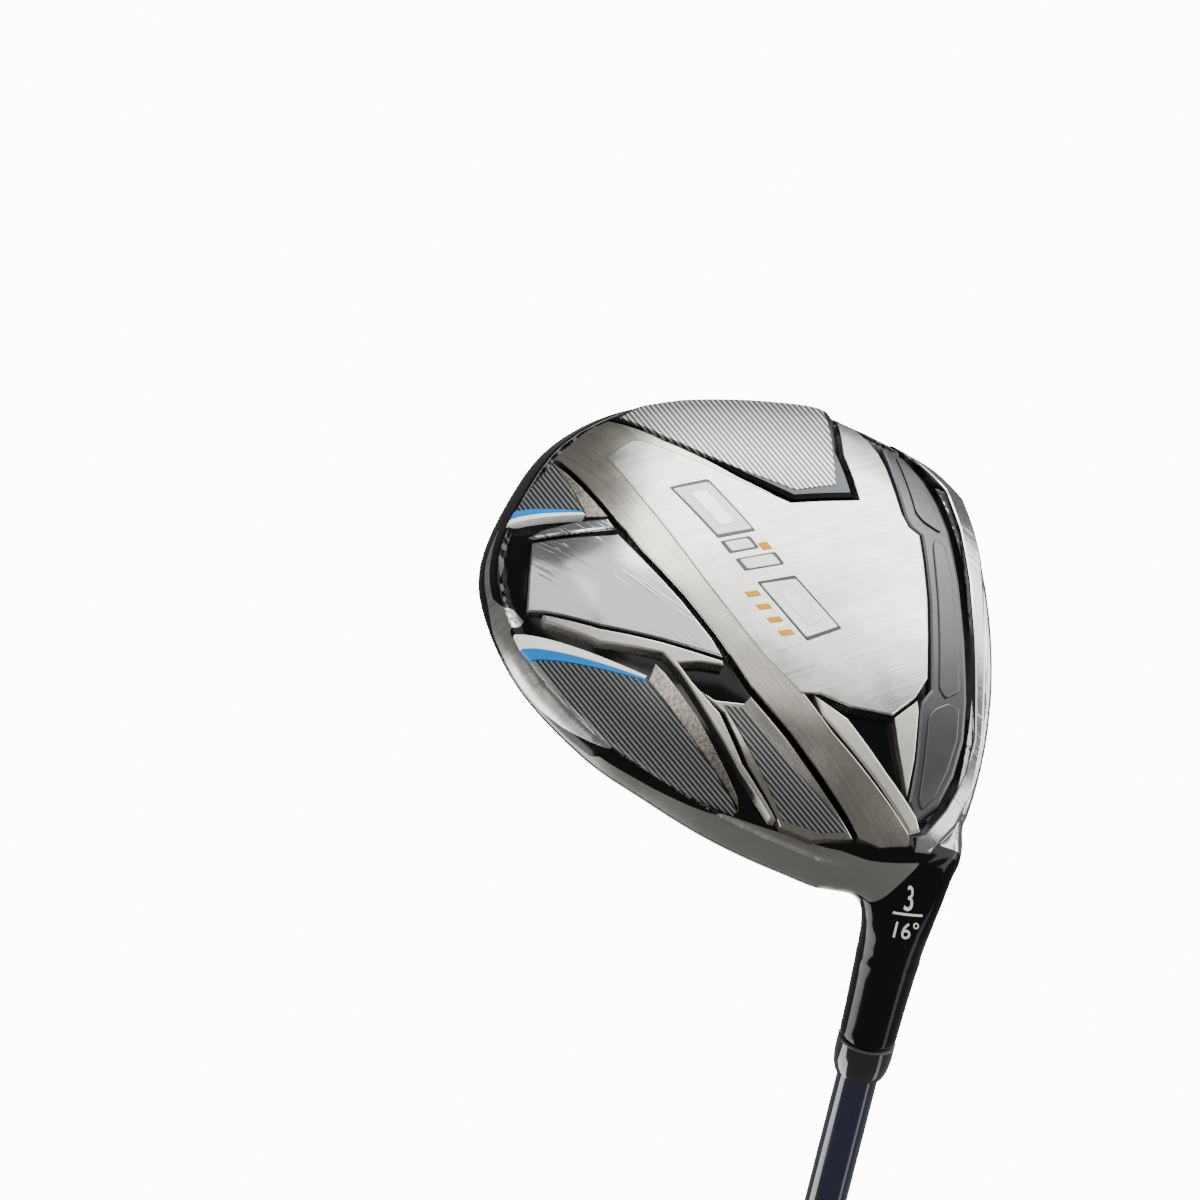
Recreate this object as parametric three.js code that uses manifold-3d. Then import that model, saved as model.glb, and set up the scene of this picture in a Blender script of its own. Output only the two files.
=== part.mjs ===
// A right-handed fairway wood: a hollow cast head with a bonded face plate, crown panel and sole
// trim, a tapered shaft glued into its hosel under a ferrule, and a taped rubber grip.
// Millimetres and degrees. The club stands at address: +X runs from the toe to the heel, +Y from
// the face to the back, +Z up. The origin is the middle of the flat pad that the sole rests on.
import * as THREE from "three";
import { mergeVertices } from "three/addons/utils/BufferGeometryUtils.js";
import Module from "manifold-3d";

const wasm = await Module();
wasm.setup();

// Overall sizes
const HEAD_LENGTH = 111; // toe to heel, across the crown edge
const HEAD_BREADTH = 105; // leading edge to the back
const CROWN_HEIGHT = 36; // top of the crown above the ground
const EDGE_HEIGHT = 20.5; // crown edge above the ground
const SKIRT_HEIGHT = 6; // skirt wall under the crown edge
const CLUB_LENGTH = 1098.5; // ground to butt, along the shaft
const LIE = 58.5; // shaft to the ground
const LOFT = 16; // face to the vertical

// Head shape
const SOLE_PAD = 0.09; // flat pad, as a share of the way out to the edge
const SKIRT_FOOT = 0.965; // foot of the skirt, as a share of the way out to the edge
const SOLE_FULLNESS = [2.6, 1.5]; // exponents of the sole's camber, along and up
const CROWN_FULLNESS = [2.2, 1.3]; // exponents of the crown's dome, along and up
const LEADING_EDGE_HEIGHT = 4;
const LEADING_EDGE = -40.8; // percent of the head's breadth, from the origin
const FACE_BULGE = 220; // radius from toe to heel
const FACE_ROLL = 260; // radius from sole to crown

// Walls and seats
const SOLE_THICKNESS = 3.2;
const SKIRT_THICKNESS = 1.8;
const LEDGE_THICKNESS = 1.2;
const LEDGE_WIDTH = 4.5;
const CROWN_THICKNESS = 0.9;
const CROWN_MARGIN = 3.2; // crown edge to the crown panel
const CROWN_TO_FACE = 9; // face to the crown panel
const FACE_WALL = 4.2; // body behind the face surface
const FACE_PLATE_THICKNESS = 2.6;
const FACE_PLATE_LENGTH = 66;
const FACE_PLATE_HEIGHT = 22;
const FACE_PLATE_CENTRE = [-5, 19.5]; // along the club's X, and above the ground
const FACE_PLATE_LAND = 2.5; // width of the ledge behind the face plate
const FACE_PLATE_SQUARENESS = 2.6; // exponent that squares the ends of the oval
const BADGE_THICKNESS = 0.9;
const BADGE_REACH = 0.94; // outer edge of the badges, as a share of the way out to the edge
const INSERT_THICKNESS = 2;
const INSERT_RIB_DEPTH = 4.6;
const CHANNEL_DEPTH = 1.5;
const MELT_PAD_RADIUS = 11;
const MELT_PAD_THICKNESS = 1.8;
const MELT_PAD_REACH = 0.9; // as far out as it may spread, as a share of the way out to the edge

// Shaft line
const SHAFT_SETBACK = 16.1; // leading edge to the shaft's centre line
const SHAFT_FOOT = 35.8; // origin to where the centre line meets the ground
const HOSEL_TOP = 58.5; // ground to the hosel's mouth, along the shaft
const HOSEL_RADIUS = 5.95;
const HOSEL_ROOT_RADIUS = 8.6;
const HOSEL_ROOT = 20; // ground to the hosel's widest point, along the shaft
const HOSEL_FOOT = [[0, 0.85], [0.6, 0.75], [0.92, 0.4]]; // shares of its radius, out and down
const HOSEL_BORE_DEPTH = 34;
const SHAFT_INSERTION = 32;
const FERRULE_LENGTH = 8;
const FERRULE_NOSE_WALL = 0.7;
const FERRULE_TAPER = [[0, 0], [0.35, 0], [0.6, 0.4], [0.9, 0.55], [1, 1]]; // shares along, and inwards
const TIP_RADIUS = 4.25;
const TIP_WALL = 1.35;
const TIP_PARALLEL = 75; // straight length at the tip
const BUTT_RADIUS = 7.62;
const BUTT_WALL = 0.9;
const TIP_PLUG_LENGTH = 10;
const GRIP_LENGTH = 266;
const GRIP_MOUTH_RADIUS = 8.9;
const GRIP_BUTT_RADIUS = 13.4;
const GRIP_FLARE = 1.25; // exponent of the grip's flare towards the butt
const GRIP_CAP_THICKNESS = 4.2;
const GRIP_CAP_RADIUS = 13.9;
const VENT_RADIUS = 1.6;
const TAPE_THICKNESS = 0.25;
const TAPE_INSET = 5; // grip mouth to the end of the tape

// Clearances
const SEAT_GAP = 0.3; // between pieces that seat in the head
const BOND_GAP = 0.15; // between pieces glued on the shaft line
const CUT_OVERRUN = 1; // how far a cut starts outside the face that it opens
const BORE_OVERRUN = 10; // how far the hosel's bore is cut past its mouth

// Fineness of the curved faces
const HEAD_SEGMENTS = 60;
const FACE_STEPS = 20;
const CROWN_RINGS = [0, 0.3, 0.52, 0.7, 0.84, 0.93, 1];
const SOLE_RINGS = [0, SOLE_PAD, ...CROWN_RINGS.slice(1)];
const TUBE_SEGMENTS = 28;
const HOSEL_STEPS = 8;
const FACE_PLATE_STEPS = 40;
const MELT_PAD_STEPS = 6;
const GRIP_STEPS = 6;

// Outlines in plan: each point is a percentage of the head's length towards the heel and of its
// breadth towards the back, from the origin. The crown edge runs on past the leading edge, where
// the face cuts it off.
const CROWN_EDGE = [
  [-56, -3.5], [-54, -12], [-48.6, -26], [-41, -39], [-25, -53], [0, -59.5], [20, -55],
  [34, -43.5], [42.5, -29], [45.3, -13], [42.5, -0.5], [37.5, 13.5], [30.8, 26.5], [23.7, 38.3],
  [11, 51.2], [-3, 58.2], [-14.4, 59.2], [-29.3, 53.6], [-41, 46], [-49.8, 33.5], [-54.3, 17],
];
const TOE_BADGE = [[-27.3, 0.6], [-45, 35.7], [-60, 43], [-60, -7.2], [-30.2, -7.6]];
const REAR_TOE_BADGE = [[-19, 41.3], [-18.7, 61], [-31, 59], [-34.7, 47.3]];
const REAR_HEEL_BADGE = [[1.5, 60], [14, 29], [35.9, 9.6], [50, 22], [20, 66]];
const HEEL_BADGE = [[18.1, 15], [18.6, 10.5], [39.6, -13.2], [37.5, 2]];
const POCKET_INSERT = [
  [-44.7, -19], [-27, -21.8], [-24, -25], [-8.5, -26.3], [10.5, -26.3], [13, -24.3],
  [32, -22.5], [35.3, -24.6], [25.7, -31.8], [11, -34], [-1.4, -33.6], [-14.4, -32.8],
  [-26, -31.3], [-38, -27.2], [-44.3, -23],
];
const POCKET_SLOT = [
  [-34, -26], [-14, -30.2], [0, -31], [22, -29.5], [22, -27.5], [0, -29], [-14, -28], [-34, -24],
];
const TOE_CHANNEL = [[-18.2, 62], [-17.4, 36.7], [-15, 34.8], [-13.5, 62]];
const HEEL_CHANNEL = [
  [2.2, 52.5], [0.7, 49.1], [4.4, 38.5], [6.8, 27.1], [9.9, 14.9], [16.5, 14], [16.5, 18.5],
  [12.5, 28],
];
const MELT_PAD_CENTRE = [-30, 10];

const radians = THREE.MathUtils.degToRad;
const leadingEdge = (LEADING_EDGE / 100) * HEAD_BREADTH;
const soleEdgeHeight = EDGE_HEIGHT - SKIRT_HEIGHT;

// Plan point of a pair of percentages.
function planPoint([length, breadth]) {
  return new THREE.Vector2((length / 100) * HEAD_LENGTH, (breadth / 100) * HEAD_BREADTH);
}

const crownEdge = new THREE.CatmullRomCurve3(
  CROWN_EDGE.map(planPoint).map((point) => new THREE.Vector3(point.x, point.y, 0)),
  true,
  "centripetal",
);

// Height of the sole's lower face at a share of the way out to the skirt's foot.
function soleHeight(share) {
  const reach = THREE.MathUtils.clamp((share - SOLE_PAD) / (1 - SOLE_PAD), 0, 1);
  const [along, up] = SOLE_FULLNESS;
  return soleEdgeHeight * (1 - (1 - reach ** along) ** (1 / up));
}

// Height of the crown's upper face at a share of the way out to the crown edge.
function crownHeight(share) {
  const [along, up] = CROWN_FULLNESS;
  const dome = Math.max(0, 1 - share ** along) ** (1 / up);
  return EDGE_HEIGHT + (CROWN_HEIGHT - EDGE_HEIGHT) * dome;
}

// A closed geometry as a solid that can be joined and cut.
function solidOf(geometry, matrix = new THREE.Matrix4()) {
  const bare = geometry.clone().applyMatrix4(matrix);
  bare.deleteAttribute("normal");
  bare.deleteAttribute("uv");
  const merged = mergeVertices(bare, 1e-4);
  return new wasm.Manifold(
    new wasm.Mesh({
      numProp: 3,
      vertProperties: merged.attributes.position.array,
      triVerts: new Uint32Array(merged.index.array),
    }),
  );
}

// A solid as a geometry with flat-shaded normals.
function geometryOf(solid) {
  const { numProp, numVert, vertProperties, triVerts } = solid.getMesh();
  const positions = new Float32Array(numVert * 3);
  for (let i = 0; i < numVert; i++) {
    positions.set(vertProperties.subarray(i * numProp, i * numProp + 3), i * 3);
  }
  const geometry = new THREE.BufferGeometry();
  geometry.setAttribute("position", new THREE.BufferAttribute(positions, 3));
  geometry.setIndex(new THREE.BufferAttribute(triVerts, 1));
  geometry.computeVertexNormals();
  return geometry;
}

// A turned profile, bent from a circle to the head's plan. Each point is a share of the way out to
// the crown edge and a function that gives the height at the share where it lands, which the
// margin pulls in from the edge.
function headTurning(profile, margin = 0) {
  const points = profile.map(([share], row) => new THREE.Vector2(share, row));
  const geometry = new THREE.LatheGeometry(points, HEAD_SEGMENTS);
  const position = geometry.attributes.position;
  for (let i = 0; i < position.count; i++) {
    const share = Math.hypot(position.getX(i), position.getZ(i));
    const turn = Math.atan2(position.getX(i), position.getZ(i)) / (2 * Math.PI);
    const edge = crownEdge.getPoint((turn + 1) % 1);
    const landed = share * (1 - margin / edge.length());
    const height = profile[Math.round(position.getY(i))][1](landed);
    position.setXYZ(i, edge.x * landed, edge.y * landed, height);
  }
  return solidOf(geometry);
}

const soleFace = (rise) => (share) => soleHeight(share / SKIRT_FOOT) + rise;
const crownFace = (drop) => (share) => crownHeight(share) - drop;

// The head's full body between its sole raised by one amount and its crown lowered by another.
function headBody(soleRise, crownDrop, margin) {
  const sole = SOLE_RINGS.map((ring) => [ring * SKIRT_FOOT, soleFace(soleRise)]);
  const crown = CROWN_RINGS.map((ring) => [ring, crownFace(crownDrop)]).reverse();
  return headTurning([...sole, ...crown], margin);
}

// A layer of the sole, between two depths above its lower face.
function soleLayer(low, high, reach = 1) {
  const rings = SOLE_RINGS.map((ring) => ring * reach * SKIRT_FOOT);
  const below = rings.map((share) => [share, soleFace(low)]);
  const above = rings.map((share) => [share, soleFace(high)]).reverse();
  return headTurning([...below, ...above]);
}

// A layer of the crown, between two depths under its upper face, out to a margin.
function crownLayer(top, bottom, margin) {
  const below = CROWN_RINGS.map((ring) => [ring, crownFace(bottom)]);
  const above = CROWN_RINGS.map((ring) => [ring, crownFace(top)]).reverse();
  return headTurning([...below, ...above], margin);
}

// An outline moved outwards by a distance, each corner along its two edges.
function grown(points, distance) {
  const turning = THREE.ShapeUtils.area(points) > 0 ? 1 : -1;
  return points.map((point, i) => {
    const before = points.at(i - 1);
    const after = points[(i + 1) % points.length];
    const arriving = point.clone().sub(before).normalize();
    const leaving = after.clone().sub(point).normalize();
    const mitre = new THREE.Vector2(arriving.y + leaving.y, -arriving.x - leaving.x);
    const scale = (2 * distance * turning) / mitre.lengthSq();
    return point.clone().add(mitre.multiplyScalar(scale));
  });
}

// An upright prism on an outline, tall enough to pass through the head.
function prism(points) {
  const depth = 2 * CROWN_HEIGHT;
  const geometry = new THREE.ExtrudeGeometry(new THREE.Shape(points), { depth, bevelEnabled: false });
  return solidOf(geometry, new THREE.Matrix4().makeTranslation(0, 0, -CROWN_HEIGHT / 2));
}

// A piece let into the sole from below, and the seat that it needs.
function soleInlay(outline, thickness, reach) {
  const points = outline.map(planPoint);
  const layer = soleLayer(0, thickness, reach);
  const seatReach = reach + (SEAT_GAP * 2) / HEAD_BREADTH;
  const seatLayer = soleLayer(-CUT_OVERRUN, thickness + SEAT_GAP, seatReach);
  return {
    piece: prism(points).intersect(layer),
    seat: prism(grown(points, SEAT_GAP)).intersect(seatLayer),
  };
}

// Placing of the face: its own Y runs into the head, and its front is bowed both ways.
const faceMatrix = new THREE.Matrix4().makeRotationX(radians(-LOFT));
const faceRise = FACE_PLATE_CENTRE[1] - LEADING_EDGE_HEIGHT;
faceMatrix.setPosition(0, leadingEdge + faceRise * Math.tan(radians(LOFT)), FACE_PLATE_CENTRE[1]);

// Everything that lies deeper than a distance behind the face surface.
function behindFace(depth) {
  const span = 2 * Math.max(HEAD_LENGTH, HEAD_BREADTH);
  const geometry = new THREE.BoxGeometry(span, span, span, FACE_STEPS, 1, FACE_STEPS);
  const position = geometry.attributes.position;
  for (let i = 0; i < position.count; i++) {
    if (position.getY(i) > 0) continue;
    const bow = position.getX(i) ** 2 / FACE_BULGE / 2 + position.getZ(i) ** 2 / FACE_ROLL / 2;
    position.setY(i, bow);
  }
  const inset = new THREE.Matrix4().makeTranslation(0, depth, 0);
  return solidOf(geometry, faceMatrix.clone().multiply(inset));
}

// A prism through the face on the plate's rounded outline, grown or shrunk by a distance.
function facePrism(margin) {
  const outline = new THREE.Shape();
  const along = FACE_PLATE_LENGTH / 2 + margin;
  const up = FACE_PLATE_HEIGHT / 2 + margin;
  const squared = (share) => Math.sign(share) * Math.abs(share) ** (2 / FACE_PLATE_SQUARENESS);
  for (let i = 0; i < FACE_PLATE_STEPS; i++) {
    const turn = (i / FACE_PLATE_STEPS) * 2 * Math.PI;
    const x = along * squared(Math.cos(turn));
    const y = up * squared(Math.sin(turn));
    outline[i ? "lineTo" : "moveTo"](FACE_PLATE_CENTRE[0] + x, y);
  }
  outline.closePath();
  const depth = 6 * FACE_WALL;
  const geometry = new THREE.ExtrudeGeometry(outline, { depth, bevelEnabled: false });
  const upright = new THREE.Matrix4().makeRotationX(Math.PI / 2).setPosition(0, 3 * FACE_WALL, 0);
  return solidOf(geometry, faceMatrix.clone().multiply(upright));
}

// The shaft line: local +Y runs from the ground up the shaft.
const shaftLine = new THREE.Group();
shaftLine.position.set(SHAFT_FOOT, leadingEdge + SHAFT_SETBACK, 0);
shaftLine.quaternion.setFromUnitVectors(
  new THREE.Vector3(0, 1, 0),
  new THREE.Vector3(Math.cos(radians(LIE)), 0, Math.sin(radians(LIE))),
);
shaftLine.updateMatrix();

// A profile of radii and distances, turned round the Y axis.
function turned(profile) {
  const points = profile.map(([radius, along]) => new THREE.Vector2(radius, along));
  return new THREE.LatheGeometry(points, TUBE_SEGMENTS);
}

// The hosel with its flared root, made larger all round by a distance.
function hosel(margin) {
  const foot = HOSEL_FOOT.map(([out, down]) => [
    out * HOSEL_ROOT_RADIUS,
    HOSEL_ROOT - down * HOSEL_ROOT_RADIUS,
  ]);
  const flare = Array.from({ length: HOSEL_STEPS + 1 }, (_, i) => {
    const share = i / HOSEL_STEPS;
    return [
      THREE.MathUtils.lerp(HOSEL_RADIUS, HOSEL_ROOT_RADIUS, (1 - share) ** 2),
      THREE.MathUtils.lerp(HOSEL_ROOT, HOSEL_TOP, share),
    ];
  });
  const profile = [...foot, ...flare, [0, HOSEL_TOP]];
  const wider = profile.map(([radius, along]) => [radius ? radius + margin : 0, along]);
  return solidOf(turned(wider), shaftLine.matrix);
}

const boreMiddle = HOSEL_TOP - (HOSEL_BORE_DEPTH - BORE_OVERRUN) / 2;
const hoselBore = solidOf(
  new THREE.CylinderGeometry(
    TIP_RADIUS + BOND_GAP,
    TIP_RADIUS + BOND_GAP,
    HOSEL_BORE_DEPTH + BORE_OVERRUN,
    TUBE_SEGMENTS,
  ),
  shaftLine.matrix.clone().multiply(new THREE.Matrix4().makeTranslation(0, boreMiddle, 0)),
);

// Sole trim
const badges = {
  toe_badge: soleInlay(TOE_BADGE, BADGE_THICKNESS, BADGE_REACH),
  rear_toe_badge: soleInlay(REAR_TOE_BADGE, BADGE_THICKNESS, BADGE_REACH),
  rear_heel_badge: soleInlay(REAR_HEEL_BADGE, BADGE_THICKNESS, BADGE_REACH),
  heel_badge: soleInlay(HEEL_BADGE, BADGE_THICKNESS, BADGE_REACH),
};
const pocketFill = soleInlay(POCKET_INSERT, INSERT_THICKNESS, 1);
const pocketRib = soleInlay(POCKET_SLOT, INSERT_RIB_DEPTH, 1);
const pocketSlot = prism(grown(POCKET_SLOT.map(planPoint), SEAT_GAP)).intersect(
  soleLayer(-CUT_OVERRUN, 2 * INSERT_RIB_DEPTH),
);
const channels = [TOE_CHANNEL, HEEL_CHANNEL].map((outline) =>
  prism(outline.map(planPoint)).intersect(soleLayer(-CUT_OVERRUN, CHANNEL_DEPTH, BADGE_REACH)),
);

// Crown panel and the ledge that it is bonded on
const crownDepth = CROWN_THICKNESS + SEAT_GAP;
const crownSeat = crownLayer(-2 * CUT_OVERRUN, crownDepth, CROWN_MARGIN)
  .intersect(behindFace(CROWN_TO_FACE))
  .subtract(hosel(CROWN_MARGIN / 2));
const crownFloor = 2 * crownDepth + LEDGE_THICKNESS;
const crownOpening = crownLayer(-2 * CUT_OVERRUN, crownFloor, CROWN_MARGIN + LEDGE_WIDTH)
  .intersect(behindFace(CROWN_TO_FACE + LEDGE_WIDTH))
  .subtract(hosel(CROWN_MARGIN / 2 + LEDGE_WIDTH));
const crownPanel = crownLayer(0, CROWN_THICKNESS, CROWN_MARGIN + SEAT_GAP)
  .intersect(behindFace(CROWN_TO_FACE + SEAT_GAP))
  .subtract(hosel(CROWN_MARGIN / 2 + SEAT_GAP));

// Face plate, its seat and the window behind it
const facePlate = behindFace(0).subtract(behindFace(FACE_PLATE_THICKNESS)).intersect(facePrism(0));
const faceSeat = behindFace(-2 * CUT_OVERRUN)
  .subtract(behindFace(FACE_PLATE_THICKNESS + SEAT_GAP))
  .intersect(facePrism(SEAT_GAP));
const faceWindow = facePrism(-FACE_PLATE_LAND);

// Cast body: the skin, less the hollow inside it and every seat
const cavity = headBody(SOLE_THICKNESS, crownDepth + LEDGE_THICKNESS, SKIRT_THICKNESS)
  .intersect(behindFace(FACE_WALL))
  .subtract(hosel(0));
const seats = [
  ...Object.values(badges).map((badge) => badge.seat),
  ...channels,
  pocketFill.seat,
  pocketSlot,
  crownSeat,
  crownOpening,
  faceSeat,
  faceWindow,
  hoselBore,
];
const castBody = seats.reduce(
  (body, cut) => body.subtract(cut),
  headBody(0, 0, 0).intersect(behindFace(0)).add(hosel(0)).subtract(cavity),
);

// Glue blob that sits on the inside of the sole
const [meltX, meltY] = planPoint(MELT_PAD_CENTRE).toArray();
const meltDisc = new THREE.Shape().absarc(meltX, meltY, MELT_PAD_RADIUS, 0, 2 * Math.PI);
const meltLow = SOLE_THICKNESS + SEAT_GAP;
const meltPad = prism(meltDisc.getPoints(MELT_PAD_STEPS).slice(0, -1)).intersect(
  soleLayer(meltLow, meltLow + MELT_PAD_THICKNESS, MELT_PAD_REACH),
);

// Radius of the shaft at a distance along the shaft line.
const shaftTip = HOSEL_TOP - SHAFT_INSERTION;
const shaftButt = CLUB_LENGTH - GRIP_CAP_THICKNESS - SEAT_GAP;
const gripMouth = shaftButt - GRIP_LENGTH;
function shaftRadius(along) {
  const share = (along - shaftTip - TIP_PARALLEL) / (gripMouth - shaftTip - TIP_PARALLEL);
  return THREE.MathUtils.lerp(TIP_RADIUS, BUTT_RADIUS, THREE.MathUtils.clamp(share, 0, 1));
}

// A tube round the shaft line between two lengths, with its outer and inner radii as functions.
function tube(stations, outer, inner) {
  const out = stations.map((along) => [outer(along), along]);
  const back = stations.map((along) => [inner(along), along]).reverse();
  return turned([...out, ...back, out[0]]);
}

const shaftStations = [
  shaftTip,
  shaftTip + TIP_PARALLEL,
  (shaftTip + gripMouth) / 2,
  gripMouth,
  shaftButt,
];
const shaft = tube(shaftStations, shaftRadius, (along) => {
  const share = (along - shaftTip) / (shaftButt - shaftTip);
  return shaftRadius(along) - THREE.MathUtils.lerp(TIP_WALL, BUTT_WALL, share);
});

const plugRadius = TIP_RADIUS - TIP_WALL - BOND_GAP;
const tipPlug = turned([
  [0, shaftTip],
  [plugRadius, shaftTip],
  [plugRadius, shaftTip + TIP_PLUG_LENGTH],
  [0, shaftTip + TIP_PLUG_LENGTH],
]);

const ferruleFoot = HOSEL_TOP + BOND_GAP;
const ferruleBore = TIP_RADIUS + BOND_GAP;
const noseRadius = ferruleBore + FERRULE_NOSE_WALL;
const ferrule = turned([
  [ferruleBore, ferruleFoot],
  ...FERRULE_TAPER.map(([along, fall]) => [
    THREE.MathUtils.lerp(HOSEL_RADIUS, noseRadius, fall),
    ferruleFoot + along * FERRULE_LENGTH,
  ]),
  [ferruleBore, ferruleFoot + FERRULE_LENGTH],
  [ferruleBore, ferruleFoot],
]);

const tapeInner = (along) => shaftRadius(along) + BOND_GAP;
const gripInner = (along) => tapeInner(along) + TAPE_THICKNESS + BOND_GAP;
const gripTape = tube(
  [gripMouth + TAPE_INSET, shaftButt - TAPE_INSET],
  (along) => tapeInner(along) + TAPE_THICKNESS,
  tapeInner,
);
const gripStations = Array.from(
  { length: GRIP_STEPS + 1 },
  (_, i) => gripMouth + (GRIP_LENGTH * i) / GRIP_STEPS,
);
const grip = tube(
  gripStations,
  (along) => {
    const share = (along - gripMouth) / GRIP_LENGTH;
    return THREE.MathUtils.lerp(GRIP_MOUTH_RADIUS, GRIP_BUTT_RADIUS, share ** GRIP_FLARE);
  },
  gripInner,
);
const capFoot = shaftButt + SEAT_GAP;
const capChamfer = GRIP_CAP_THICKNESS / 4;
const gripCap = turned([
  [VENT_RADIUS, capFoot],
  [GRIP_CAP_RADIUS - capChamfer, capFoot],
  [GRIP_CAP_RADIUS, capFoot + capChamfer],
  [GRIP_CAP_RADIUS, CLUB_LENGTH - 2 * capChamfer],
  [GRIP_CAP_RADIUS - 2 * capChamfer, CLUB_LENGTH],
  [VENT_RADIUS, CLUB_LENGTH],
  [VENT_RADIUS, capFoot],
]);

// A named piece with its own material.
function part(name, geometry, color, roughness, metalness) {
  const material = new THREE.MeshStandardMaterial({ color, roughness, metalness });
  const mesh = new THREE.Mesh(geometry, material);
  mesh.name = name;
  return mesh;
}

const head = new THREE.Group();
head.add(
  part("head_body", geometryOf(castBody), 0x55565a, 0.18, 1),
  part("face_plate", geometryOf(facePlate), 0x4a4b4e, 0.35, 1),
  part("crown_panel", geometryOf(crownPanel), 0x101114, 0.1, 0),
  part("speed_pocket_insert", geometryOf(pocketFill.piece.add(pocketRib.piece)), 0x3b3d43, 0.45, 0),
  part("hot_melt_pad", geometryOf(meltPad), 0xd8c98a, 0.6, 0),
);
const badgeColours = {
  toe_badge: 0xb4b6b2,
  rear_toe_badge: 0x5c5d60,
  rear_heel_badge: 0x5c5d60,
  heel_badge: 0x515257,
};
for (const [name, badge] of Object.entries(badges)) {
  head.add(part(name, geometryOf(badge.piece), badgeColours[name], 0.4, 0.8));
}
shaftLine.add(
  part("shaft", shaft, 0x0b0e1c, 0.2, 0),
  part("shaft_tip_plug", tipPlug, 0xc8b48c, 0.8, 0),
  part("ferrule", ferrule, 0x0c0c0d, 0.12, 0),
  part("grip_tape", gripTape, 0xd9d2c0, 0.8, 0),
  part("grip", grip, 0x17181a, 0.75, 0),
  part("grip_cap", gripCap, 0x1d1e20, 0.7, 0),
);

const fairwayWood = new THREE.Group();
fairwayWood.add(head, shaftLine);

export default fairwayWood;
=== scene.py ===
"""Looks of a right-handed fairway wood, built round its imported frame.

Outlines are in millimetres and every built mesh is in metres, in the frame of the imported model: +X from
the toe to the heel, +Y from the face to the back, +Z up, with the flat pad of the sole at Z 0.
"""

import logging
import math
from collections.abc import Callable, Iterable
from dataclasses import dataclass, field
from enum import Enum

import bmesh
import bpy
from mathutils import Matrix, Vector


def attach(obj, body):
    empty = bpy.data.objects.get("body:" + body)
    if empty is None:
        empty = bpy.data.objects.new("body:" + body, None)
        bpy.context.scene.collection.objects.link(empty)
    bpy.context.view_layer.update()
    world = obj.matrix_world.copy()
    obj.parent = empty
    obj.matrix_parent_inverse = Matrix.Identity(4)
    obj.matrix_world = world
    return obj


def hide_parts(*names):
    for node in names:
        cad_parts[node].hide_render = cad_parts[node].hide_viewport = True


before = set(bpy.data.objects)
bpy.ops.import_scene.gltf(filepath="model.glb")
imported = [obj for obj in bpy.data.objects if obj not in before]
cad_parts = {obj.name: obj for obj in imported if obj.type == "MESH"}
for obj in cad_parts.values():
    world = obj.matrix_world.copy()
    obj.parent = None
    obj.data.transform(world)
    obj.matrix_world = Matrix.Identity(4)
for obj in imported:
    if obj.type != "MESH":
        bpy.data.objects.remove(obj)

logging.basicConfig(level=logging.INFO, format="%(message)s")
log = logging.getLogger("fairway_wood")

MM = 0.001
Outline = list[tuple[float, float]]


def linear_colour(code: str) -> tuple[float, float, float, float]:
    """Turn an sRGB hex code into the linear colour that Blender takes.

    Args:
        code: Colour as "#rrggbb".

    Returns:
        Linear red, green, blue and an alpha of one.
    """
    shares = [int(code[i : i + 2], 16) / 255 for i in (1, 3, 5)]
    linear = [s / 12.92 if s <= 0.04045 else ((s + 0.055) / 1.055) ** 2.4 for s in shares]
    return (*linear, 1.0)


def smoothstep(low: float, high: float, value: float) -> float:
    """Ease from 0 at low to 1 at high.

    Args:
        low: Value at which the result leaves 0.
        high: Value at which the result reaches 1.
        value: Where to evaluate.

    Returns:
        The eased share.
    """
    t = min(1.0, max(0.0, (value - low) / (high - low)))
    return t * t * (3 - 2 * t)


def add_node(
    tree: bpy.types.NodeTree,
    kind: str,
    settings: dict[str | int, object] | None = None,
    links: dict[str | int, bpy.types.NodeSocket] | None = None,
) -> bpy.types.Node:
    """Add a node, set it and link its inputs.

    Args:
        tree: Tree that gets the node.
        kind: Blender's name of the node type.
        settings: Values of the node's own properties (str in lower case) or of its inputs.
        links: Output sockets that feed its inputs.

    Returns:
        The new node.
    """
    node = tree.nodes.new(kind)
    for key, value in (settings or {}).items():
        if isinstance(key, str) and hasattr(node, key):
            setattr(node, key, value)
        else:
            node.inputs[key].default_value = value
    for key, socket in (links or {}).items():
        tree.links.new(socket, node.inputs[key])
    return node


class Pattern(Enum):
    """Ways in which a finish varies over its surface."""

    PLAIN = "plain"
    SCRATCHED = "scratched"
    BRUSHED = "brushed"
    LINES = "lines"
    PEBBLED = "pebbled"
    WEAVE = "weave"
    DIAMONDS = "diamonds"


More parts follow.
